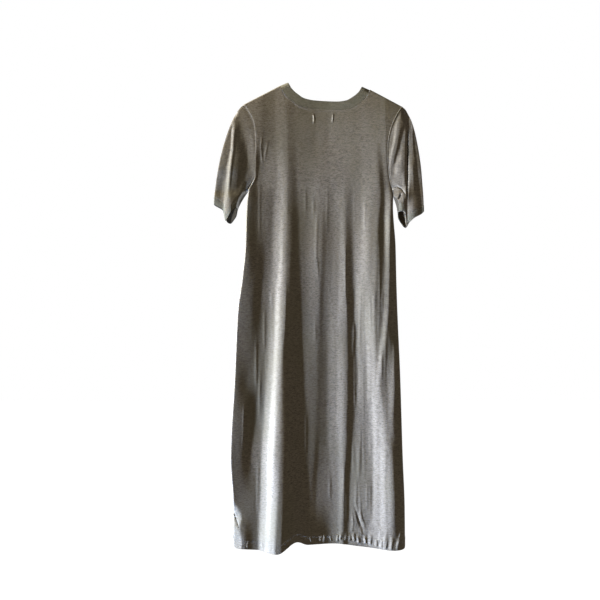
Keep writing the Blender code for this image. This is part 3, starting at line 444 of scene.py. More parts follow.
RIGHT_SLEEVE_FOLDS = table(
    FOLD_FIELDS,
    ("inner edge",
     (180, 180, 170, 164, 159, 157, 157, 158, 160, 163, 175, 183),
     (22.8, 25.7, 27.8, 29.3, 30.7, 31.5, 32.0, 32.4, 32.5, 31.9, 37.6, 42.6)),
    ("lip rise",
     (182, 182, 176, 172, 168, 164, 161, 160, 162, 165, 176, 185),
     (22.8, 25.8, 28.0, 30.1, 31.3, 32.3, 32.8, 32.7, 32.7, 32.1, 37.9, 42.9)),
    ("lip crest",
     (183, 183, 181, 180, 176, 170, 165, 161, 164, 166, 178, 187),
     (22.8, 25.8, 29.5, 32.4, 34.1, 34.6, 34.0, 33.0, 32.9, 32.3, 38.3, 42.8)),
    ("diagonal dark",
     (189, 189, 188, 186, 182, 177, 171, 166, 166, 168, 180, 188),
     (22.8, 26.2, 29.9, 32.8, 34.3, 35.0, 34.4, 33.1, 33.1, 32.6, 38.8, 42.7)),
    ("diagonal foot",
     (194, 194, 193, 191, 187, 182, 176, 171, 171, 173, 184, 191),
     (22.8, 24.4, 29.8, 32.1, 32.9, 33.5, 33.7, 33.5, 33.8, 33.7, 39.8, 43.0)),
    ("inner rise",
     (196, 196, 195, 193, 189, 186, 183, 181, 181, 182, 188, 192),
     (22.8, 22.4, 29.8, 32.0, 32.7, 33.4, 35.0, 36.4, 35.6, 35.7, 40.9, 43.3)),
    ("inner ridge",
     (198, 198, 196, 195, 191, 190, 190, 190, 190, 191, 191, 194),
     (22.8, 22.4, 29.3, 31.5, 32.7, 34.2, 36.6, 37.5, 37.0, 37.0, 41.3, 43.5)),
    ("inner fall",
     (200, 200, 199, 199, 199, 198, 198, 197, 196, 196, 195, 196),
     (22.8, 22.3, 28.6, 31.5, 33.3, 34.8, 36.8, 37.4, 38.0, 38.1, 42.0, 43.5)),
    ("valley",
     (206, 206, 204, 203, 203, 203, 203, 202, 201, 200, 199, 199),
     (22.8, 19.6, 24.8, 31.1, 32.1, 32.6, 33.6, 36.6, 36.9, 38.8, 42.3, 39.3)),
    ("outer flank",
     (210, 210, 209, 209, 209, 209, 208, 207, 206, 205, 204, 203),
     (22.8, 18.6, 22.1, 23.3, 24.1, 25.0, 27.3, 30.6, 31.3, 33.6, 37.4, 35.9)),
    ("outer crest",
     (215, 215, 215, 215, 215, 215, 214, 213, 212, 211, 210, 209),
     (22.8, 22.4, 22.3, 23.1, 24.2, 25.4, 28.0, 31.7, 32.1, 33.6, 36.6, 37.6)),
    ("outer slope 35",
     (216, 216, 216, 216, 217, 218, 218, 218, 219, 219, 219, 219),
     (22.8, 21.1, 22.6, 23.3, 24.4, 25.7, 28.3, 32.2, 32.6, 33.6, 36.4, 39.1)),
    ("outer slope 70",
     (218, 218, 218, 218, 220, 221, 223, 224, 226, 227, 229, 230),
     (22.8, 21.1, 23.0, 23.4, 24.4, 25.6, 28.2, 30.8, 30.5, 31.7, 35.8, 38.5)),
    ("outer edge",
     (219, 219, 219, 220, 222, 224, 227, 229, 232, 234, 237, 239),
     (22.8, 21.1, 23.0, 23.4, 23.1, 24.6, 26.9, 28.9, 28.2, 29.7, 33.4, 35.0)),
)
SLEEVE_ROLL = 0.0026                              # how wide a sleeve rolls over at its edges
SLEEVE_LEAVE, LEAVE_SHARE = 0.0140, 0.08          # its folds begin within so much of its length
SEAM_RINGS, SEAM_STEP = 12, 0.0007                # close rings beside the armhole
LENGTH_STEPS = 24                                 # in which a sleeve's lines are measured
FRONT_SLEEVE_EDGE, FRONT_SLEEVE_SHARE = 0.0130, 0.62       # least depth of its front, share of the rest
LIP_PEAK, LIP_WIDE = 0.0010, 0.0030               # where the lip is highest, and how far it falls away
CUFF_SINK = 0.0003                                # how far the cuff's seam lies in
UNDER_REACH, SAG_START = 0.0160, 0.0060           # the cloth sags beside the underarm line
# Such cloth beside the underarm of a sleeve with shaded_under gets painted shade.
LOOKS_DOWN, LOOKS_IN = 0.35, 0.50                 # cloth there that looks this far down or in is shaded

# lip is how high the cloth rides over the armhole seam, sag its sag for each metre of its depth,
# and shaded_under whether its cloth that looks away under the arm gets painted shade.
SLEEVES = table(
    "word outward column cuff folds drops creases lip sag shaded_under",
    ("left", -1.0, 0, LEFT_CUFF, LEFT_SLEEVE_FOLDS, LEFT_SLEEVE_DROPS, LEFT_SLEEVE_CREASES,
     0.0001, (0.0, 0.0, 0.0), False),
    ("right", 1.0, -1, RIGHT_CUFF, RIGHT_SLEEVE_FOLDS, RIGHT_SLEEVE_DROPS, RIGHT_SLEEVE_CREASES,
     0.0007, (0.135, 0.0, 0.150), True),
)

# ---- fine grid ----
SIDE_COLUMNS, NECK_COLUMNS = 54, 106      # across: shoulder, neck, shoulder
ARMHOLE_ROWS, BODY_ROWS = 76, 150
COLUMN_EASE, ROW_EASE = 0.35, 0.45        # how much they crowd towards the seams
HEM_FINER, HEM_ROWS = 3, 26
SLEEVE_RINGS, CUFF_RINGS, BAND_RINGS = 104, 16, 12
ROWS_SEARCHED = 40                        # for a line of stitches below an edge
BODY_ROW, BAND_ROW, CUFF_ROW = 120, 2, -3  # rows of body, hem or band, and cuff that tell what faces out
HEM_MARGIN = 2                            # columns without stitches beside the side seams


# ---- small mathematics ----
def soft(t):
    """A smooth step from 0 to 1."""
    t = np.clip(t, 0.0, 1.0)
    return t * t * (3.0 - 2.0 * t)


def quarter_round(t):
    """A rounded rise from 0 to 1, steep at first."""
    t = np.clip(t, 0.0, 1.0)
    return np.sqrt(1.0 - (1.0 - t) ** 2)


def tangents_of(keys, values):
    """Slopes at the knots of a smooth curve with no overshoot; keys run along the first axis."""
    slopes = np.diff(values, axis=0) / np.diff(keys, axis=0)
    inner = np.zeros_like(slopes[:-1])
    before, after = slopes[:-1], slopes[1:]
    same = before * after > 0.0
    inner[same] = 2.0 * before[same] * after[same] / (before[same] + after[same])
    return np.concatenate((slopes[:1], inner, slopes[-1:]))


def hermite(t, step, start, leave, end, arrive):
    """Points on a curve from start to end, by share, that leaves and arrives with the given slopes."""
    return (start * (1 + 2 * t) * (1 - t) ** 2 + leave * step * t * (1 - t) ** 2
            + end * t * t * (3 - 2 * t) + arrive * step * t * t * (t - 1))


def through(keys, values, at):
    """Read a smooth curve through the values at any array of places."""
    keys, values = np.asarray(keys, float), np.asarray(values, float)
    at = np.clip(np.asarray(at, float), keys[0], keys[-1])
    tangents = tangents_of(keys, values)
    k = np.clip(np.searchsorted(keys, at, side="right") - 1, 0, len(keys) - 2)
    step = keys[k + 1] - keys[k]
    return hermite((at - keys[k]) / step, step, values[k], tangents[k], values[k + 1],
                   tangents[k + 1])


def column_of(rows, field, at):
    """Read one column of a table, at places along its first column."""
    return through([row[0] for row in rows], [getattr(row, field) for row in rows], at)


def mix(a, b, t):
    """Blend points a and b by an array of shares."""
    t = np.asarray(t, float)[..., None]
    return a * (1.0 - t) + b * t


def eased_steps(count, ease):
    """Shares from 0 to 1 that crowd a little towards both ends."""
    t = np.linspace(0.0, 1.0, count + 1)
    return (1.0 - ease) * t + ease * (0.5 - 0.5 * np.cos(pi * t))


def unit(vectors):
    """The vectors at a length of 1."""
    return vectors / np.maximum(np.linalg.norm(vectors, axis=-1, keepdims=True), TINY)


def running_length(points):
    """Distance along a line of points, from 0 at its first one."""
    steps = np.linalg.norm(np.diff(points, axis=0), axis=-1)
    return np.concatenate((np.zeros((1,) + steps.shape[1:]), np.cumsum(steps, axis=0)))


def read_at(place, run, points):
    """The point at a place along a line of points with the given running length."""
    return np.array([np.interp(place, run, points[:, i]) for i in range(3)])


# ---- body panels ----
def across_shares():
    """Places of the grid's columns across a panel; two of them are the neck corners."""
    side = eased_steps(SIDE_COLUMNS, COLUMN_EASE)
    left = LEFT_NECK_SHARE * side
    middle = np.linspace(0.0, 1.0, NECK_COLUMNS + 1)
    middle = LEFT_NECK_SHARE + (RIGHT_NECK_SHARE - LEFT_NECK_SHARE) * middle
    right = RIGHT_NECK_SHARE + (1.0 - RIGHT_NECK_SHARE) * side
    return np.concatenate((left[:-1], middle, right[1:]))


def top_edge(s, side):
    """Points on the panel's top edge: shoulder seam, neck seam, shoulder seam."""
    field = "back" if side == BACK else "front"
    t = (s - LEFT_NECK_SHARE) / (RIGHT_NECK_SHARE - LEFT_NECK_SHARE)
    points = mix(NECK_LEFT, NECK_RIGHT, t)
    points[:, 2] -= column_of(NECK_SEAM, field, 2.0 * t - 1.0)
    left = mix(SHOULDER_LEFT, NECK_LEFT, s / LEFT_NECK_SHARE)
    right = mix(SHOULDER_RIGHT, NECK_RIGHT, (1.0 - s) / (1.0 - RIGHT_NECK_SHARE))
    points = np.where((s < LEFT_NECK_SHARE)[:, None], left, points)
    return np.where((s > RIGHT_NECK_SHARE)[:, None], right, points)


def armhole_edge(share, at_left, side):
    """Points down one edge of a panel's armhole, and the share of the panel's depth they keep."""
    start, end = (SHOULDER_LEFT, UNDERARM_LEFT) if at_left else (SHOULDER_RIGHT, UNDERARM_RIGHT)
    reach = column_of(ARMHOLE, "left_in" if at_left else "right_in", share)
    if side == FRONT:
        reach = reach + column_of(ARMHOLE, "front_in", share)
    points = mix(start, end, share)
    points[:, 0] += reach if at_left else -reach
    return points, column_of(ARMHOLE, "left_depth" if at_left else "right_depth", share)


def shoulder_fall(x, z):
    """Share of the full depth at grid points: the cloth rolls over the shoulders and falls from them."""
    distances = []
    for start, end in ((SHOULDER_LEFT, NECK_LEFT), (SHOULDER_RIGHT, NECK_RIGHT)):
        along = end - start
        t = ((x - start[0]) * along[0] + (z - start[2]) * along[2]) / (along @ along)
        t = np.clip(t, 0.0, 1.0)
        distances.append(np.hypot(x - start[0] - t * along[0], z - start[2] - t * along[2]))
    roll = quarter_round(np.minimum(*distances) / SHOULDER_ROLL)
    return roll * through(FALL_DROPS, FALL_SHARES, -z)


def lines_depth(places, depths, x):
    """Depth at grid points on a smooth curve across through lines of known place and depth."""
    tangents = tangents_of(places, depths)
    depth = depths[0] + 0.0 * x
    for k in range(len(places) - 1):
        step = places[k + 1] - places[k]
        t = np.clip((x - places[k]) / step, 0.0, 1.0)
        curve = hermite(t, step, depths[k], tangents[k], depths[k + 1], tangents[k + 1])
        depth = np.where(x >= places[k], curve, depth)
    return depth


def read_lines(folds, drops, drop):
    """Places and depths of a table's lines at grid points."""
    places = np.array([through(drops, fold.across, drop) for fold in folds]) * MM
    return places, np.array([through(drops, fold.depth, drop) for fold in folds]) * MM


def fold_depth(folds, drops, x, drop, left, right, left_edge, right_edge):
    """Depth of a panel at grid points.

    Outside the outermost lines the cloth turns in to the panel's edges, which lie at the given
    shares of their depth.
    """
    places, depths = read_lines(folds, drops, drop)
    left_rim, right_rim = column_of(SIDES, "left", drop), column_of(SIDES, "right", drop)
    outermost = depths[-1:] * column_of(SIDES, "fall", drop)[None]
    places = np.concatenate((left[None] + left_rim, places, right[None] - right_rim))
    depths = np.concatenate((depths[:1] + RIM_PROUD, depths, outermost))
    last = len(places) - 1
    for k in range(1, last):
        places[k] = np.maximum(places[k], places[k - 1] + LINE_GAP)
    for k in range(last - 1, 0, -1):
        places[k] = np.minimum(places[k], places[k + 1] - LINE_GAP)
    depth = lines_depth(places, depths, x)
    rise = quarter_round((x - left) / left_rim)
    depth = np.where(x <= places[0], depths[0] * (left_edge + (1.0 - left_edge) * rise), depth)
    rise = quarter_round((right - x) / right_rim)
    return np.where(x >= places[-1], depths[-1] * (right_edge + (1.0 - right_edge) * rise), depth)


def crease_height(creases, x, drop):
    """Height that soft ridges and troughs along short paths add at grid points."""
    height = np.zeros(np.broadcast(x, drop).shape)
    x, drop = np.broadcast_to(x, height.shape) / MM, np.broadcast_to(drop, height.shape) / MM
    for crease in creases:
        path = np.array(crease.path, float)
        reach = max(crease.left, crease.right)
        near = ((x > path[:, 0].min() - reach) & (x < path[:, 0].max() + reach)
                & (drop > path[:, 1].min() - reach) & (drop < path[:, 1].max() + reach))
        if not near.any():
            continue
        px, pz = x[near], drop[near]
        steps = np.diff(path, axis=0)
        lengths = np.linalg.norm(steps, axis=1)
        best = np.full(px.shape, np.inf)
        side, along = np.zeros(px.shape), np.zeros(px.shape)
        for k, (start, step) in enumerate(zip(path[:-1], steps)):
            t = np.clip(((px - start[0]) * step[0] + (pz - start[1]) * step[1]) / (step @ step), 0, 1)
            off_x, off_z = px - start[0] - t * step[0], pz - start[1] - t * step[1]
            away = np.hypot(off_x, off_z)
            closer = away < best
            best = np.where(closer, away, best)
            side = np.where(closer, step[0] * off_z - step[1] * off_x, side)
            along = np.where(closer, (lengths[:k].sum() + t * lengths[k]) / lengths.sum(), along)
        width = np.where(side > 0.0, crease.left, crease.right)
        round_over = 0.5 + 0.5 * np.cos(pi * np.minimum(best / width, 1.0))
        ends = soft(along / CREASE_TAPER) * soft((1.0 - along) / CREASE_TAPER)
        height[near] += crease.high * round_over * ends
    return height * MM


def tables_of(side):
    """The folds, their drops, the creases and the column name of one side of the body."""
    if side == BACK:
        return BACK_FOLDS, BACK_DROPS, BACK_CREASES, "back"
    return FRONT_FOLDS, FRONT_DROPS, FRONT_CREASES, "front"


def upper_points(side, s):
    """Grid of a panel's cloth from its shoulder and neck edge down to the underarms."""
    folds, drops, _, _ = tables_of(side)
    share = eased_steps(ARMHOLE_ROWS, ROW_EASE)
    left, left_depth = armhole_edge(share, True, side)
    right, right_depth = armhole_edge(share, False, side)
    above_shoulders = top_edge(s, side) - mix(SHOULDER_LEFT, SHOULDER_RIGHT, s)
    points = mix(left[:, None], right[:, None], s) + above_shoulders * (1.0 - share)[:, None, None]
    x, z = points[..., 0], points[..., 2]
    spread = np.ones((1, len(s)))
    depth = fold_depth(folds, drops, x, -z, left[:, :1] * spread, right[:, :1] * spread,
                       left_depth[:, None] * spread, right_depth[:, None] * spread)
    points[..., 1] = side * depth * shoulder_fall(x, z)
    return points


def curl_of_edge(x, drop, left, depth):
    """The side edge near the hem, turned back so that the cloth falls steeply away to it."""
    crest = column_of(CURL, "across", drop) * MM
    inside = (drop > CURL[0].drop) & (x < crest)
    return np.where(inside, depth * (1.0 - CURL_SLOPE * (crest - x)), depth)


def lower_points(side, s, drop):
    """Grid of a panel's cloth on free hanging rows."""
    folds, drops, _, word = tables_of(side)
    spread = np.ones((1, len(s)))
    settle = soft((drop + UNDERARM_LEFT[2]) / SETTLE_LENGTH)
    tilt = ((UNDERARM_LEFT[2] - UNDERARM_RIGHT[2]) * (1.0 - settle))[:, None]
    left = column_of(OUTLINE, "left", drop)[:, None] * spread
    right = column_of(OUTLINE, "right", drop[:, None] + tilt) * spread
    x = left + (right - left) * s[None]
    z_free = -drop[:, None] - tilt * s[None]
    low = soft((drop - HEM_FROM_DROP) / (HEM_DROP - HEM_TURN - HEM_FROM_DROP))[:, None]
    dip = low * column_of(HEM_LINE, word, x)
    dip -= low * CORNER_RISE * soft(1.0 - np.minimum(x - left, right - x) / CORNER_REACH) ** 2
    depth = fold_depth(folds, drops, x, -z_free, left, right, 0.0, 0.0)
    if side == BACK:
        depth = curl_of_edge(x, dip - z_free, left, depth)
    depth = depth * shoulder_fall(x, z_free)
    return np.stack((x, side * depth, z_free - dip), axis=-1)


def add_creases(grid, side):
    """The grid with its small creases, which stand out to the panel's own side, and where shade is painted
    in deep ones.

    Each point is first eased halfway towards its two neighbours across.
    """
    grid = grid.copy()
    depth = grid[..., 1]
    grid[:, 1:-1, 1] = 0.25 * depth[:, :-2] + 0.5 * depth[:, 1:-1] + 0.25 * depth[:, 2:]
    relief = crease_height(tables_of(side)[2], grid[..., 0], -grid[..., 2])
    grid[..., 1] += side * relief
    return grid, np.where(relief < -BODY_TUCK, DEEP_SHADE, OUTSIDE)


def panel_points(side):
    """Fine grid of points down the middle of one body panel's cloth, as far as its hem stitching."""
    s = across_shares()
    drop = np.linspace(-UNDERARM_LEFT[2], HEM_DROP - STITCH_ABOVE_HEM, BODY_ROWS + 1)[1:]
    return add_creases(np.concatenate((upper_points(side, s), lower_points(side, s, drop))), side)


def hem_points(side):
    """Still finer grid of the turned hem below its stitching."""
    s = across_shares()
    steps = np.arange(HEM_FINER * (len(s) - 1) + 1) / HEM_FINER
    s = np.interp(steps, np.arange(len(s)), s)
    drop = np.linspace(HEM_DROP - STITCH_ABOVE_HEM, HEM_DROP, HEM_ROWS + 1)
    return add_creases(lower_points(side, s, drop), side)[0]


def grid_normals(grid, closed=False):
    """Unit normals of a grid of points, columns across and rows down."""
    if closed:
        wide = np.concatenate((grid[:, -1:], grid, grid[:, :1]), axis=1)
        across = wide[:, 2:] - wide[:, :-2]
    else:
        across = np.gradient(grid, axis=1)
    return unit(np.cross(across, np.gradient(grid, axis=0)))


def facing(side, normals, row, column):
    """The normals turned so that the one at a row and column points to the given side."""
    return normals if side * normals[row, column, 1] > 0.0 else -normals


# ---- shells ----
def new_object(name, data):
    obj = bpy.data.objects.new(name, data)
    bpy.context.scene.collection.objects.link(obj)
    return obj


def mesh_object(name, vertices, faces, *materials):
    mesh = bpy.data.meshes.new(name)
    mesh.from_pydata(vertices, [], faces)
    for material in materials:
        mesh.materials.append(material)
    return new_object(name, mesh)


def shell_faces(rows, columns, closed):
    """A shell's quads by part: outer, inner, two rows each of top and low rim, and two open sides.

    Its vertices are the outer face, the inner face, the top rim and the low rim.
    """
    count = rows * columns
    top, low, last = 2 * count, 2 * count + columns, count - columns
    i = np.arange(columns if closed else columns - 1)
    right = (i + 1) % columns
    down = np.arange(rows - 1)[:, None] * columns
    a, b = down + i, down + right
    parts = [
        np.stack((a, a + columns, b + columns, b), -1).reshape(-1, 4),
        np.stack((a, b, b + columns, a + columns), -1).reshape(-1, 4) + count,
        np.stack((i, right, top + right, top + i), -1),
        np.stack((top + i, top + right, count + right, count + i), -1),
        np.stack((low + i, low + right, last + right, last + i), -1),
        np.stack((count + last + i, count + last + right, low + right, low + i), -1),
    ]
    if not closed:
        j = down[:, 0]
        parts.append(np.stack((j, j + count, j + columns + count, j + columns), -1))
        j = j + columns - 1
        parts.append(np.stack((j, j + columns, j + columns + count, j + count), -1))
    return parts


def facing_out(vertices, quads):
    """The quads turned so that the closed form they bound has a positive volume."""
    a, b, c, d = (vertices[quads[:, k]] for k in range(4))
    volume = (a * (np.cross(b, c) + np.cross(c, d))).sum()
    return quads[:, ::-1] if volume < 0.0 else quads


def shell(name, grid, normals, thickness, cloth, inside, shaded=OUTSIDE, closed=False, free_edge=False):
    """A thin closed shell of cloth round a grid, with its rims rounded over.

    Rims that meet a seam get painted shade; a free edge, at the last row, is painted as dark as the
    inside.
    Where shaded gives a slot at a grid point, the shade of a tuck or of the arm above is painted on the
    cloth.
    """
    rows, columns = grid.shape[:2]
    shift = normals * (0.5 * thickness)
    top_rim = grid[0] + unit(grid[0] - grid[1]) * (SEAM_RIM * thickness)
    low_rim = grid[-1] + unit(grid[-1] - grid[-2]) * (FREE_RIM * thickness)
    outer, inner = (grid + shift).reshape(-1, 3), (grid - shift).reshape(-1, 3)
    vertices = np.concatenate((outer, inner, top_rim, low_rim))
    parts = shell_faces(rows, columns, closed)
    outside = np.broadcast_to(shaded, (rows, columns)).reshape(-1)[parts[0][:, 0]]
    low = INSIDE if free_edge else DEEP_SHADE
    slots = (outside, INSIDE, DEEP_SHADE, DEEP_SHADE, low, low, DEEP_SHADE, DEEP_SHADE)
    slots = np.concatenate([np.broadcast_to(slot, len(part)) for slot, part in zip(slots, parts)])
    quads = facing_out(vertices, np.concatenate(parts))
    obj = mesh_object(name, vertices.tolist(), quads.tolist(), cloth, inside, seam_shade, under_shade)
    obj.data.polygons.foreach_set("material_index", slots.astype(np.int32))
    obj.data.shade_smooth()
    obj.data.set_sharp_from_angle(angle=RIM_ANGLE)


# ---- stitches ----
def below_top(grid, normals, margin, distance):
    """The line on a grid's cloth that runs a set distance below its top edge, between two margins."""
    columns = range(margin, grid.shape[1] - margin)
    runs = running_length(grid[:ROWS_SEARCHED])
    points = [read_at(distance, runs[:, k], grid[:ROWS_SEARCHED, k]) for k in columns]
    ways = [read_at(distance, runs[:, k], normals[:ROWS_SEARCHED, k]) for k in columns]
    return np.array(points), np.array(ways)


def stitches(name, rows, thickness, material):
    """Rows of short stitches that lie on the outer face of the cloth, as one mesh."""
    vertices, faces = [], []
    for points, ways in rows:
        run = running_length(points)
        for start in np.arange(STITCH_START, run[-1] - STITCH_LONG, STITCH_STEP):
            near, far = read_at(start, run, points), read_at(start + STITCH_LONG, run, points)
            out = unit(read_at(start, run, ways))
            along = far - near
            across = np.cross(out, unit(along))
            lift = out * (0.5 * thickness)
            base = len(vertices)
            vertices.append(near + lift - out * STITCH_HALF)
            for share in STITCH_SHOULDERS:
                centre = near + share * along + lift + out * (STITCH_LIFT * STITCH_HALF)
                for side, up in ((1, 0), (0, 1), (-1, 0), (0, -1)):
                    vertices.append(centre + STITCH_HALF * (side * across + up * out))
            vertices.append(far + lift - out * STITCH_HALF)
            for i in range(4):
                j = (i + 1) % 4
                faces.append((base, base + 1 + j, base + 1 + i))
                faces.append((base + 1 + i, base + 1 + j, base + 5 + j, base + 5 + i))
                faces.append((base + 5 + i, base + 5 + j, base + 9))
    mesh_object(name, vertices, faces, material).data.shade_smooth()


# ---- sleeves ----
def armhole_loop(back, front, column):
    """The armhole's points: down the back panel and up the front one, and which half each is."""
    under = ARMHOLE_ROWS
    points = np.concatenate((back[:under + 1, column], front[under - 1:0:-1, column]))
    halves = np.concatenate((np.full(under + 1, BACK), np.full(under - 1, FRONT)))
    points[[0, under], 1] = 0.0
    return points, halves


def round_shares(points):
    """How far round the half sleeve each point lies: 0 at the top, 1 at the underarm."""
    under = ARMHOLE_ROWS
    steps = np.linalg.norm(np.roll(points, -1, axis=0) - points, axis=1)
    back, front = steps[:under], steps[under:]
    down = np.concatenate(([0.0], np.cumsum(back))) / back.sum()
    up = np.cumsum(front[::-1])[::-1] / front.sum()
    return np.concatenate((down, up[1:]))


def cuff_points(cuff, shares, halves):
    """Points on the free edge of a sleeve's cuff."""
    points = np.empty((len(shares), 3))
    for side, half in ((BACK, "back"), (FRONT, "front")):
        own = halves == side
        points[own, 0] = column_of(cuff, half + "_x", shares[own])
        points[own, 1] = side * column_of(cuff, half + "_depth", shares[own])
        points[own, 2] = -column_of(cuff, half + "_drop", shares[own])
    return points


def blend_three(top, middle, under, share):
    """A value that passes from the top's, by the middle's, to the underarm's."""
    t = np.asarray(share)[:, None]
    upper = top + (middle - top) * soft(t * 2.0)
    lower = middle + (under - middle) * soft(t * 2.0 - 1.0)
    return np.where(t < 0.5, upper, lower)


def seam_lip(away):
    """Share of its full height that the cloth rides up over the seam allowance beside a seam."""
    rise = soft(away / LIP_PEAK)
    return rise * soft(1.0 - (away - LIP_PEAK) / LIP_WIDE)


def distances_along_rings(flat, under):
    """How far each point of the laid-out rings lies from the top line and from the underarm line."""
    steps = np.linalg.norm(np.roll(flat, -1, axis=1) - flat, axis=-1)
    run = np.cumsum(steps, axis=1) - steps
    whole = steps.sum(axis=1, keepdims=True)
    return np.minimum(run, whole - run), np.abs(run - run[:, under:under + 1])


def sleeve_rings(points, halves, sleeve):
    """Rings from the armhole to the cuff's edge, on smooth lines down the sleeve of the lengths given."""
    shares = round_shares(points)
    ends = cuff_points(sleeve.cuff, shares, halves)
    leave = blend_three(LEAVE_TOP, LEAVE_SIDE, LEAVE_UNDER, shares)
    leave[:, 0] *= sleeve.outward
    leave[:, 1] *= halves
    leave[:, 2] *= -1.0
    arrive = np.zeros_like(leave)
    arrive[:, 2] = -blend_three(ARRIVE_TOP, ARRIVE_SIDE, ARRIVE_UNDER, shares)[:, 0]

    def on_lines(t):
        return hermite(t[:, None], 1.0, points, leave, ends, arrive)

    samples = np.array([on_lines(np.full(len(shares), k / LENGTH_STEPS)) for k in range(LENGTH_STEPS + 1)])
    lengths = running_length(samples)[-1]
    start = 1.0 - CUFF_WIDTH / lengths
    near = SEAM_RINGS * SEAM_STEP / lengths
    far = SLEEVE_RINGS - SEAM_RINGS
    rings = [on_lines(near * k / SEAM_RINGS) for k in range(SEAM_RINGS)]
    rings += [on_lines(near + (start - near) * k / far) for k in range(far)]
    rings += [on_lines(start + (1.0 - start) * k / CUFF_RINGS) for k in range(CUFF_RINGS + 1)]
    return np.array(rings), lengths


def sleeve_normals(rings):
    """Normals that point out of the sleeve, told by the middle of its back near the cuff's edge."""
    return facing(BACK, grid_normals(rings, closed=True), CUFF_ROW, ARMHOLE_ROWS // 2)


def sleeve_grid(back, front, sleeve):
    """Fine rings of a sleeve with its folds and creases, their normals, and where shade is painted on
    them.
    """
    under = ARMHOLE_ROWS
    points, halves = armhole_loop(back, front, sleeve.column)
    rings, lengths = sleeve_rings(points, halves, sleeve)
    x, depth, drop = rings[..., 0], rings[..., 1] * halves, -rings[..., 2]
    on_back = halves[None] == BACK

    from_top, from_under = distances_along_rings(rings[..., [0, 2]], under)
    edge = np.minimum(from_top, from_under)
    seam = np.linalg.norm(rings - rings[:1], axis=-1)
    free = soft(seam / np.minimum(SLEEVE_LEAVE, LEAVE_SHARE * lengths))
    back_depth = lines_depth(*read_lines(sleeve.folds, sleeve.drops, drop), x)
    front_depth = FRONT_SLEEVE_EDGE + FRONT_SLEEVE_SHARE * depth
    own = np.where(on_back, back_depth, front_depth) * quarter_round(edge / SLEEVE_ROLL)
    own = depth[:1] * (1.0 - free) + own * free
    own += sleeve.lip * seam_lip(seam) * quarter_round(edge / (2.0 * SLEEVE_ROLL))
    relief = np.where(on_back, crease_height(sleeve.creases, x, drop), 0.0)
    rings[..., 1] = halves * (own + relief)
    rings[:, [0, under], 1] = 0.0
    sag = soft(1.0 - from_under / UNDER_REACH) * soft(seam / SAG_START) * on_back
    rings += (sag * rings[..., 1])[..., None] * np.array(sleeve.sag)
    rings[SLEEVE_RINGS] -= CUFF_SINK * sleeve_normals(rings)[SLEEVE_RINGS]

    normals = sleeve_normals(rings)
    # Cloth under the arm that looks down or in, and deep tucks, get darker jersey as painted shade.
    looks_away = (normals[..., 2] < -LOOKS_DOWN) | (sleeve.outward * normals[..., 0] < -LOOKS_IN)
    underside = looks_away & (from_under < UNDER_REACH) & sleeve.shaded_under
    slots = np.where(underside, UNDER_SHADE, OUTSIDE)
    return rings, normals, np.where(relief < -SLEEVE_TUCK, DEEP_SHADE, slots)


# ---- neckband ----
def neckband_grid(back, front):
    """Rings from the neck seam to the band's free edge: along the back, then back along the front."""
    left, right = SIDE_COLUMNS, SIDE_COLUMNS + NECK_COLUMNS
    seam = np.concatenate((back[0, left:right + 1], front[0, right - 1:left:-1]))
    halves = np.concatenate((np.full(NECK_COLUMNS + 1, BACK), np.full(NECK_COLUMNS - 1, FRONT)))
    seam[[0, NECK_COLUMNS], 1] = 0.0
    middle = 0.5 * (NECK_LEFT[0] + NECK_RIGHT[0])
    t = (seam[:, 0] - NECK_LEFT[0]) / (NECK_RIGHT[0] - NECK_LEFT[0])
    corner_height = NECK_LEFT[2] + (NECK_RIGHT[2] - NECK_LEFT[2]) * t
    deepest = np.where(halves == BACK, max(r.back for r in NECK_SEAM), max(r.front for r in NECK_SEAM))
    fall = np.minimum((corner_height - seam[:, 2]) / deepest, 1.0)
    rise = BAND_RISE_CORNER + (BAND_RISE_MIDDLE - BAND_RISE_CORNER) * fall
    free = np.stack((middle + (seam[:, 0] - middle) * BAND_DRAW_IN, seam[:, 1] * BAND_LEAN,
                     seam[:, 2] + rise), -1)
    rings = np.array([mix(seam, free, k) for k in np.linspace(0.0, 1.0, BAND_RINGS + 1)])
    return rings, facing(BACK, grid_normals(rings, closed=True), BAND_ROW, NECK_COLUMNS // 2)


# ---- materials ----
NODE_SPACING = 220
# How tightly the slubs, the flecks and the patches of dye lie along each axis, per metre.
SLUBS, FLECKS, PATCHES = (130.0, 130.0, 430.0), (300.0, 300.0, 640.0), (9.0, 9.0, 5.0)
WALES, WALE_WANDER, KNIT_HEIGHT = 260.0, 1.5, 0.0003
FLECK_LIGHT, THREAD_DARK = 1.55, 0.75    # times the colour beside them
JERSEY_TONES = ((0.176, 0.156, 0.127), (0.076, 0.066, 0.050), (0.128, 0.116, 0.078))
BAND_TONES = ((0.142, 0.136, 0.108), (0.082, 0.078, 0.059), (0.112, 0.108, 0.076))


def shade(colour, share=1.0):
    """A colour with its alpha, made darker or lighter."""
    return tuple(share * c for c in colour) + (1.0,)


def wire(tree, node, inputs):
    """Set a node's inputs, each to a value or to another node's output."""
    for socket, value in inputs.items():
        if isinstance(value, bpy.types.NodeSocket):
            tree.links.new(value, node.inputs[socket])
        else:
            node.inputs[socket].default_value = value


def add_node(tree, kind, inputs=None, **settings):
    """A new shader node with its inputs and settings."""
    node = tree.nodes.new("ShaderNode" + kind)
    node.location = (NODE_SPACING * len(tree.nodes), 0)
    for key, value in settings.items():
        setattr(node, key, value)
    wire(tree, node, inputs or {})
    return node


def map_range(tree, value, **ends):
    """A value spread from one range to another; its ends are from_min, from_max, to_min and to_max."""
    inputs = {name.replace("_", " ").title(): end for name, end in ends.items()}
    return add_node(tree, "MapRange", {"Value": value, **inputs}).outputs["Result"]


def blended(tree, a, b, share):
    """Colour a, turned into colour b by a share."""
    return add_node(tree, "Mix", {6: a, 7: b, 0: share}, data_type="RGBA").outputs[2]


def new_material(name):
    """A material with its node tree and the principled shader that it starts with."""
    material = bpy.data.materials.new(name)
    material.use_nodes = True
    return material, material.node_tree, material.node_tree.nodes["Principled BSDF"]


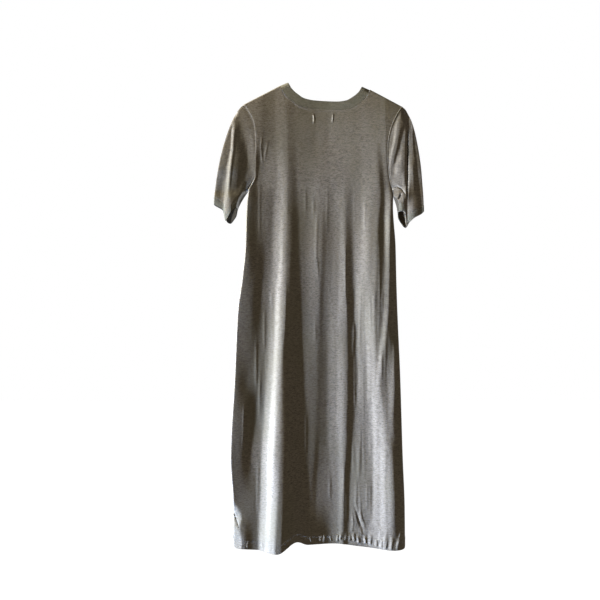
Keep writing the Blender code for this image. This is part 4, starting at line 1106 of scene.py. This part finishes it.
def jersey(name, tones, share=1.0, bump=0.35, sheen=0.18, specular=0.25):
    """Heathered jersey: horizontal slubs, fine vertical knit columns, uneven dye and soft sheen."""
    base, deep, olive = (shade(tone, share) for tone in tones)
    light = shade(base[:3], FLECK_LIGHT)
    material, tree, shader = new_material(name)
    place = add_node(tree, "TexCoord").outputs["Object"]

    def noise(stretch, detail, rough):
        mapping = add_node(tree, "Mapping", {"Vector": place, "Scale": stretch})
        inputs = {"Vector": mapping.outputs[0], "Scale": 1.0, "Detail": detail, "Roughness": rough}
        return add_node(tree, "TexNoise", inputs).outputs["Fac"]

    slub, fleck, patch = noise(SLUBS, 3.0, 0.75), noise(FLECKS, 2.0, 0.8), noise(PATCHES, 2.0, 0.6)
    marl = blended(tree, deep, base, map_range(tree, slub, from_min=0.38, from_max=0.60))
    flecked = blended(tree, marl, light, map_range(tree, fleck, from_min=0.40, from_max=0.70, to_max=0.42))
    dyed = blended(tree, flecked, olive, map_range(tree, patch, from_min=0.42, from_max=0.68, to_max=0.55))
    wales = add_node(tree, "TexWave", {"Vector": place, "Scale": WALES, "Distortion": WALE_WANDER,
                                       "Detail": 2.0}, bands_direction="X")
    height = add_node(tree, "Math", {0: wales.outputs["Fac"], 1: fleck}, operation="ADD")
    knit = add_node(tree, "Bump", {"Height": height.outputs[0], "Strength": bump, "Distance": KNIT_HEIGHT})
    wire(tree, shader, {
        "Base Color": dyed, "Normal": knit.outputs["Normal"], "Roughness": 0.90,
        "Specular IOR Level": specular, "Sheen Weight": sheen, "Sheen Roughness": 0.45,
        "Sheen Tint": (1.0, 0.98, 0.95, 1.0)})
    return material


def thread(name, colour):
    """Sewing thread with a fine grain."""
    material, tree, shader = new_material(name)
    place = add_node(tree, "TexCoord").outputs["Object"]
    grain = add_node(tree, "TexNoise", {"Vector": place, "Scale": 900.0}).outputs["Fac"]
    grained = blended(tree, shade(colour, THREAD_DARK), shade(colour), grain)
    wire(tree, shader, {"Base Color": grained, "Roughness": 0.7, "Sheen Weight": 0.2})
    return material


def painted_shade_jersey(name, share, specular=0.0):
    """The same jersey made darker and without sheen, to paint shade inside the dress, in a tuck or under
    an arm.
    """
    return jersey(name, JERSEY_TONES, share, sheen=0.0, specular=specular)


jersey_cloth = jersey("jersey_cloth", JERSEY_TONES)
band_cloth = jersey("band_cloth", BAND_TONES, bump=0.45)
# Darker copies of the jersey paint shade inside the body and the sleeves (the left one far darker), in
# seams and tucks, and under an arm.
body_inside = painted_shade_jersey("body_inside", 0.5, specular=0.1)
sleeve_inside_painted_shade = {"left": painted_shade_jersey("sleeve_inside_left", 0.09), "right": painted_shade_jersey("sleeve_inside_right", 0.80)}
seam_shade = painted_shade_jersey("seam_shade", 0.17)
under_shade = painted_shade_jersey("under_shade", 0.22)
sewing_thread = thread("sewing_thread", (0.105, 0.096, 0.076))
hem_thread = thread("hem_thread", (0.042, 0.038, 0.030))


# ---- the pieces ----
panels = {}
for word, side in (("back", BACK), ("front", FRONT)):
    panel, shaded = panel_points(side)
    panel_normals = facing(side, grid_normals(panel), BODY_ROW, panel.shape[1] // 2)
    shell("shell_" + word, panel, panel_normals, CLOTH, jersey_cloth, body_inside, shaded)
    hem = hem_points(side)
    hem_normals = facing(side, grid_normals(hem), BAND_ROW, hem.shape[1] // 2)
    hem -= 0.5 * (TURNED - CLOTH) * hem_normals
    shell("hem_" + word, hem, hem_normals, TURNED, jersey_cloth, body_inside, free_edge=True)
    rows = [below_top(panel, panel_normals, SIDE_COLUMNS + 1, d) for d in NECK_STITCHES]
    stitches("neck_stitches_" + word, rows, CLOTH, sewing_thread)
    rows = [below_top(hem, hem_normals, HEM_MARGIN, d) for d in HEM_STITCHES]
    stitches("hem_stitches_" + word, rows, TURNED, hem_thread)
    panels[word] = panel

for sleeve in SLEEVES:
    rings, normals, shaded = sleeve_grid(panels["back"], panels["front"], sleeve)
    inside, k = sleeve_inside_painted_shade[sleeve.word], SLEEVE_RINGS
    shell("shell_sleeve_" + sleeve.word, rings[:k + 1], normals[:k + 1], CLOTH, jersey_cloth,
          inside, shaded[:k + 1], closed=True)
    shell("shell_cuff_" + sleeve.word, rings[k:], normals[k:], TURNED, band_cloth,
          inside, shaded[k:], closed=True, free_edge=True)

rings, normals = neckband_grid(panels["back"], panels["front"])
shell("shell_neckband", rings, normals, TURNED, band_cloth, body_inside, closed=True, free_edge=True)

SHEETS = table(
    "name node slot flat area extras",
    ("shell_back", "body_back", "jersey", (0.55, 1.13), 0.492,
     ("hem_back", "neck_stitches_back", "hem_stitches_back")),
    ("shell_front", "body_front", "jersey", (0.56, 1.10), 0.486,
     ("hem_front", "neck_stitches_front", "hem_stitches_front")),
    ("shell_sleeve_left", "sleeve_left", "jersey", (0.36, 0.20), 0.047, ()),
    ("shell_sleeve_right", "sleeve_right", "jersey", (0.36, 0.20), 0.045, ()),
    ("shell_cuff_left", "cuff_left", "band_jersey", (0.245, 0.022), None, ()),
    ("shell_cuff_right", "cuff_right", "band_jersey", (0.245, 0.022), None, ()),
    ("shell_neckband", "neckband", "band_jersey", (0.70, 0.019), None, ()),
)
for sheet in SHEETS:
    piece = bpy.data.objects[sheet.name]
    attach(piece, "root")
    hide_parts(sheet.node)
    extras = [bpy.data.objects[name] for name in sheet.extras]
    for extra in extras:
        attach(extra, "root")

# ---- floor, light and camera ----
BACKDROP_GREY = 0.60
FLOOR_HALF, FLOOR_HEIGHT, FLOOR_COLOUR = 9.0, -1.9, (0.05, 0.05, 0.05, 1.0)
FLOOR_GREY_AT, FLOOR_WHITE_AT = 0.0, 1.4       # metres behind the dress
WALL_GREY_AT, WALL_WHITE_AT = 0.45, 0.85       # the same by direction, from -1 to 1
FILL_COLOUR, FILL_STRENGTH = (1.0, 0.86, 0.66, 1.0), 0.25
CAMERA_PLACE, CAMERA_LENS = (-0.06, -2.0, -0.505), 48.0

WINDOWS = table(
    "name place aim size watts colour casts_shadow",
    ("front_window", (0.00, 2.45, -0.30), (0.0, 0.03, -0.55), (0.9, 1.2), 75.0,
     (0.95, 0.98, 1.0), True),
    ("upper_window", (-1.90, -0.175, 0.05), (0.0, -0.03, -0.30), (0.25, 0.50), 164.0,
     (1.07, 1.00, 0.83), False),
    ("lower_window", (-1.90, -0.175, -1.35), (0.0, -0.03, -0.85), (0.25, 0.50), 208.0,
     (0.75, 1.00, 1.56), False),
)


def pale_away(tree, coordinate, grey_at, white_at):
    """Colour of the backdrop: white behind the dress, pale grey on the other sides of it."""
    place = add_node(tree, "TexCoord").outputs[coordinate]
    behind = add_node(tree, "SeparateXYZ", {0: place}).outputs["Y"]
    return map_range(tree, behind, from_min=grey_at, from_max=white_at, to_min=BACKDROP_GREY)


corners = [(x * FLOOR_HALF, y * FLOOR_HALF, FLOOR_HEIGHT) for x, y in ((-1, -1), (1, -1), (1, 1), (-1, 1))]
pale, tree, shader = new_material("pale_floor")
wire(tree, shader, {
    "Base Color": FLOOR_COLOUR, "Roughness": 0.9, "Emission Strength": 1.0,
    "Emission Color": pale_away(tree, "Object", FLOOR_GREY_AT, FLOOR_WHITE_AT)})
floor = mesh_object("floor", corners, [(0, 1, 2, 3)], pale)
floor.visible_diffuse = False

world = bpy.data.worlds.new("white_studio")
bpy.context.scene.world = world
world.use_nodes = True
tree = world.node_tree
tree.nodes.clear()
seen_colour = pale_away(tree, "Generated", WALL_GREY_AT, WALL_WHITE_AT)
seen = add_node(tree, "Background", {"Color": seen_colour, "Strength": 1.0}).outputs[0]
fill = add_node(tree, "Background", {"Color": FILL_COLOUR, "Strength": FILL_STRENGTH}).outputs[0]
to_camera = add_node(tree, "LightPath").outputs["Is Camera Ray"]
chosen = add_node(tree, "MixShader", {0: to_camera, 1: fill, 2: seen}).outputs[0]
add_node(tree, "OutputWorld", {"Surface": chosen})

for window in WINDOWS:
    data = bpy.data.lights.new(window.name, "AREA")
    data.shape = "RECTANGLE"
    data.size, data.size_y = window.size
    data.energy = window.watts
    data.color = window.colour
    data.use_shadow = window.casts_shadow
    if not window.casts_shadow:
        data.cycles.max_bounces = 0
    light = new_object(window.name, data)
    light.location = window.place
    light.rotation_euler = (Vector(window.place) - Vector(window.aim)).to_track_quat("Z", "Y").to_euler()

camera = new_object("camera", bpy.data.cameras.new("camera"))
camera.data.lens = CAMERA_LENS
camera.location = CAMERA_PLACE
camera.rotation_euler = (pi / 2.0, 0.0, 0.0)
bpy.context.scene.camera = camera
bpy.context.scene.view_settings.view_transform = "Standard"
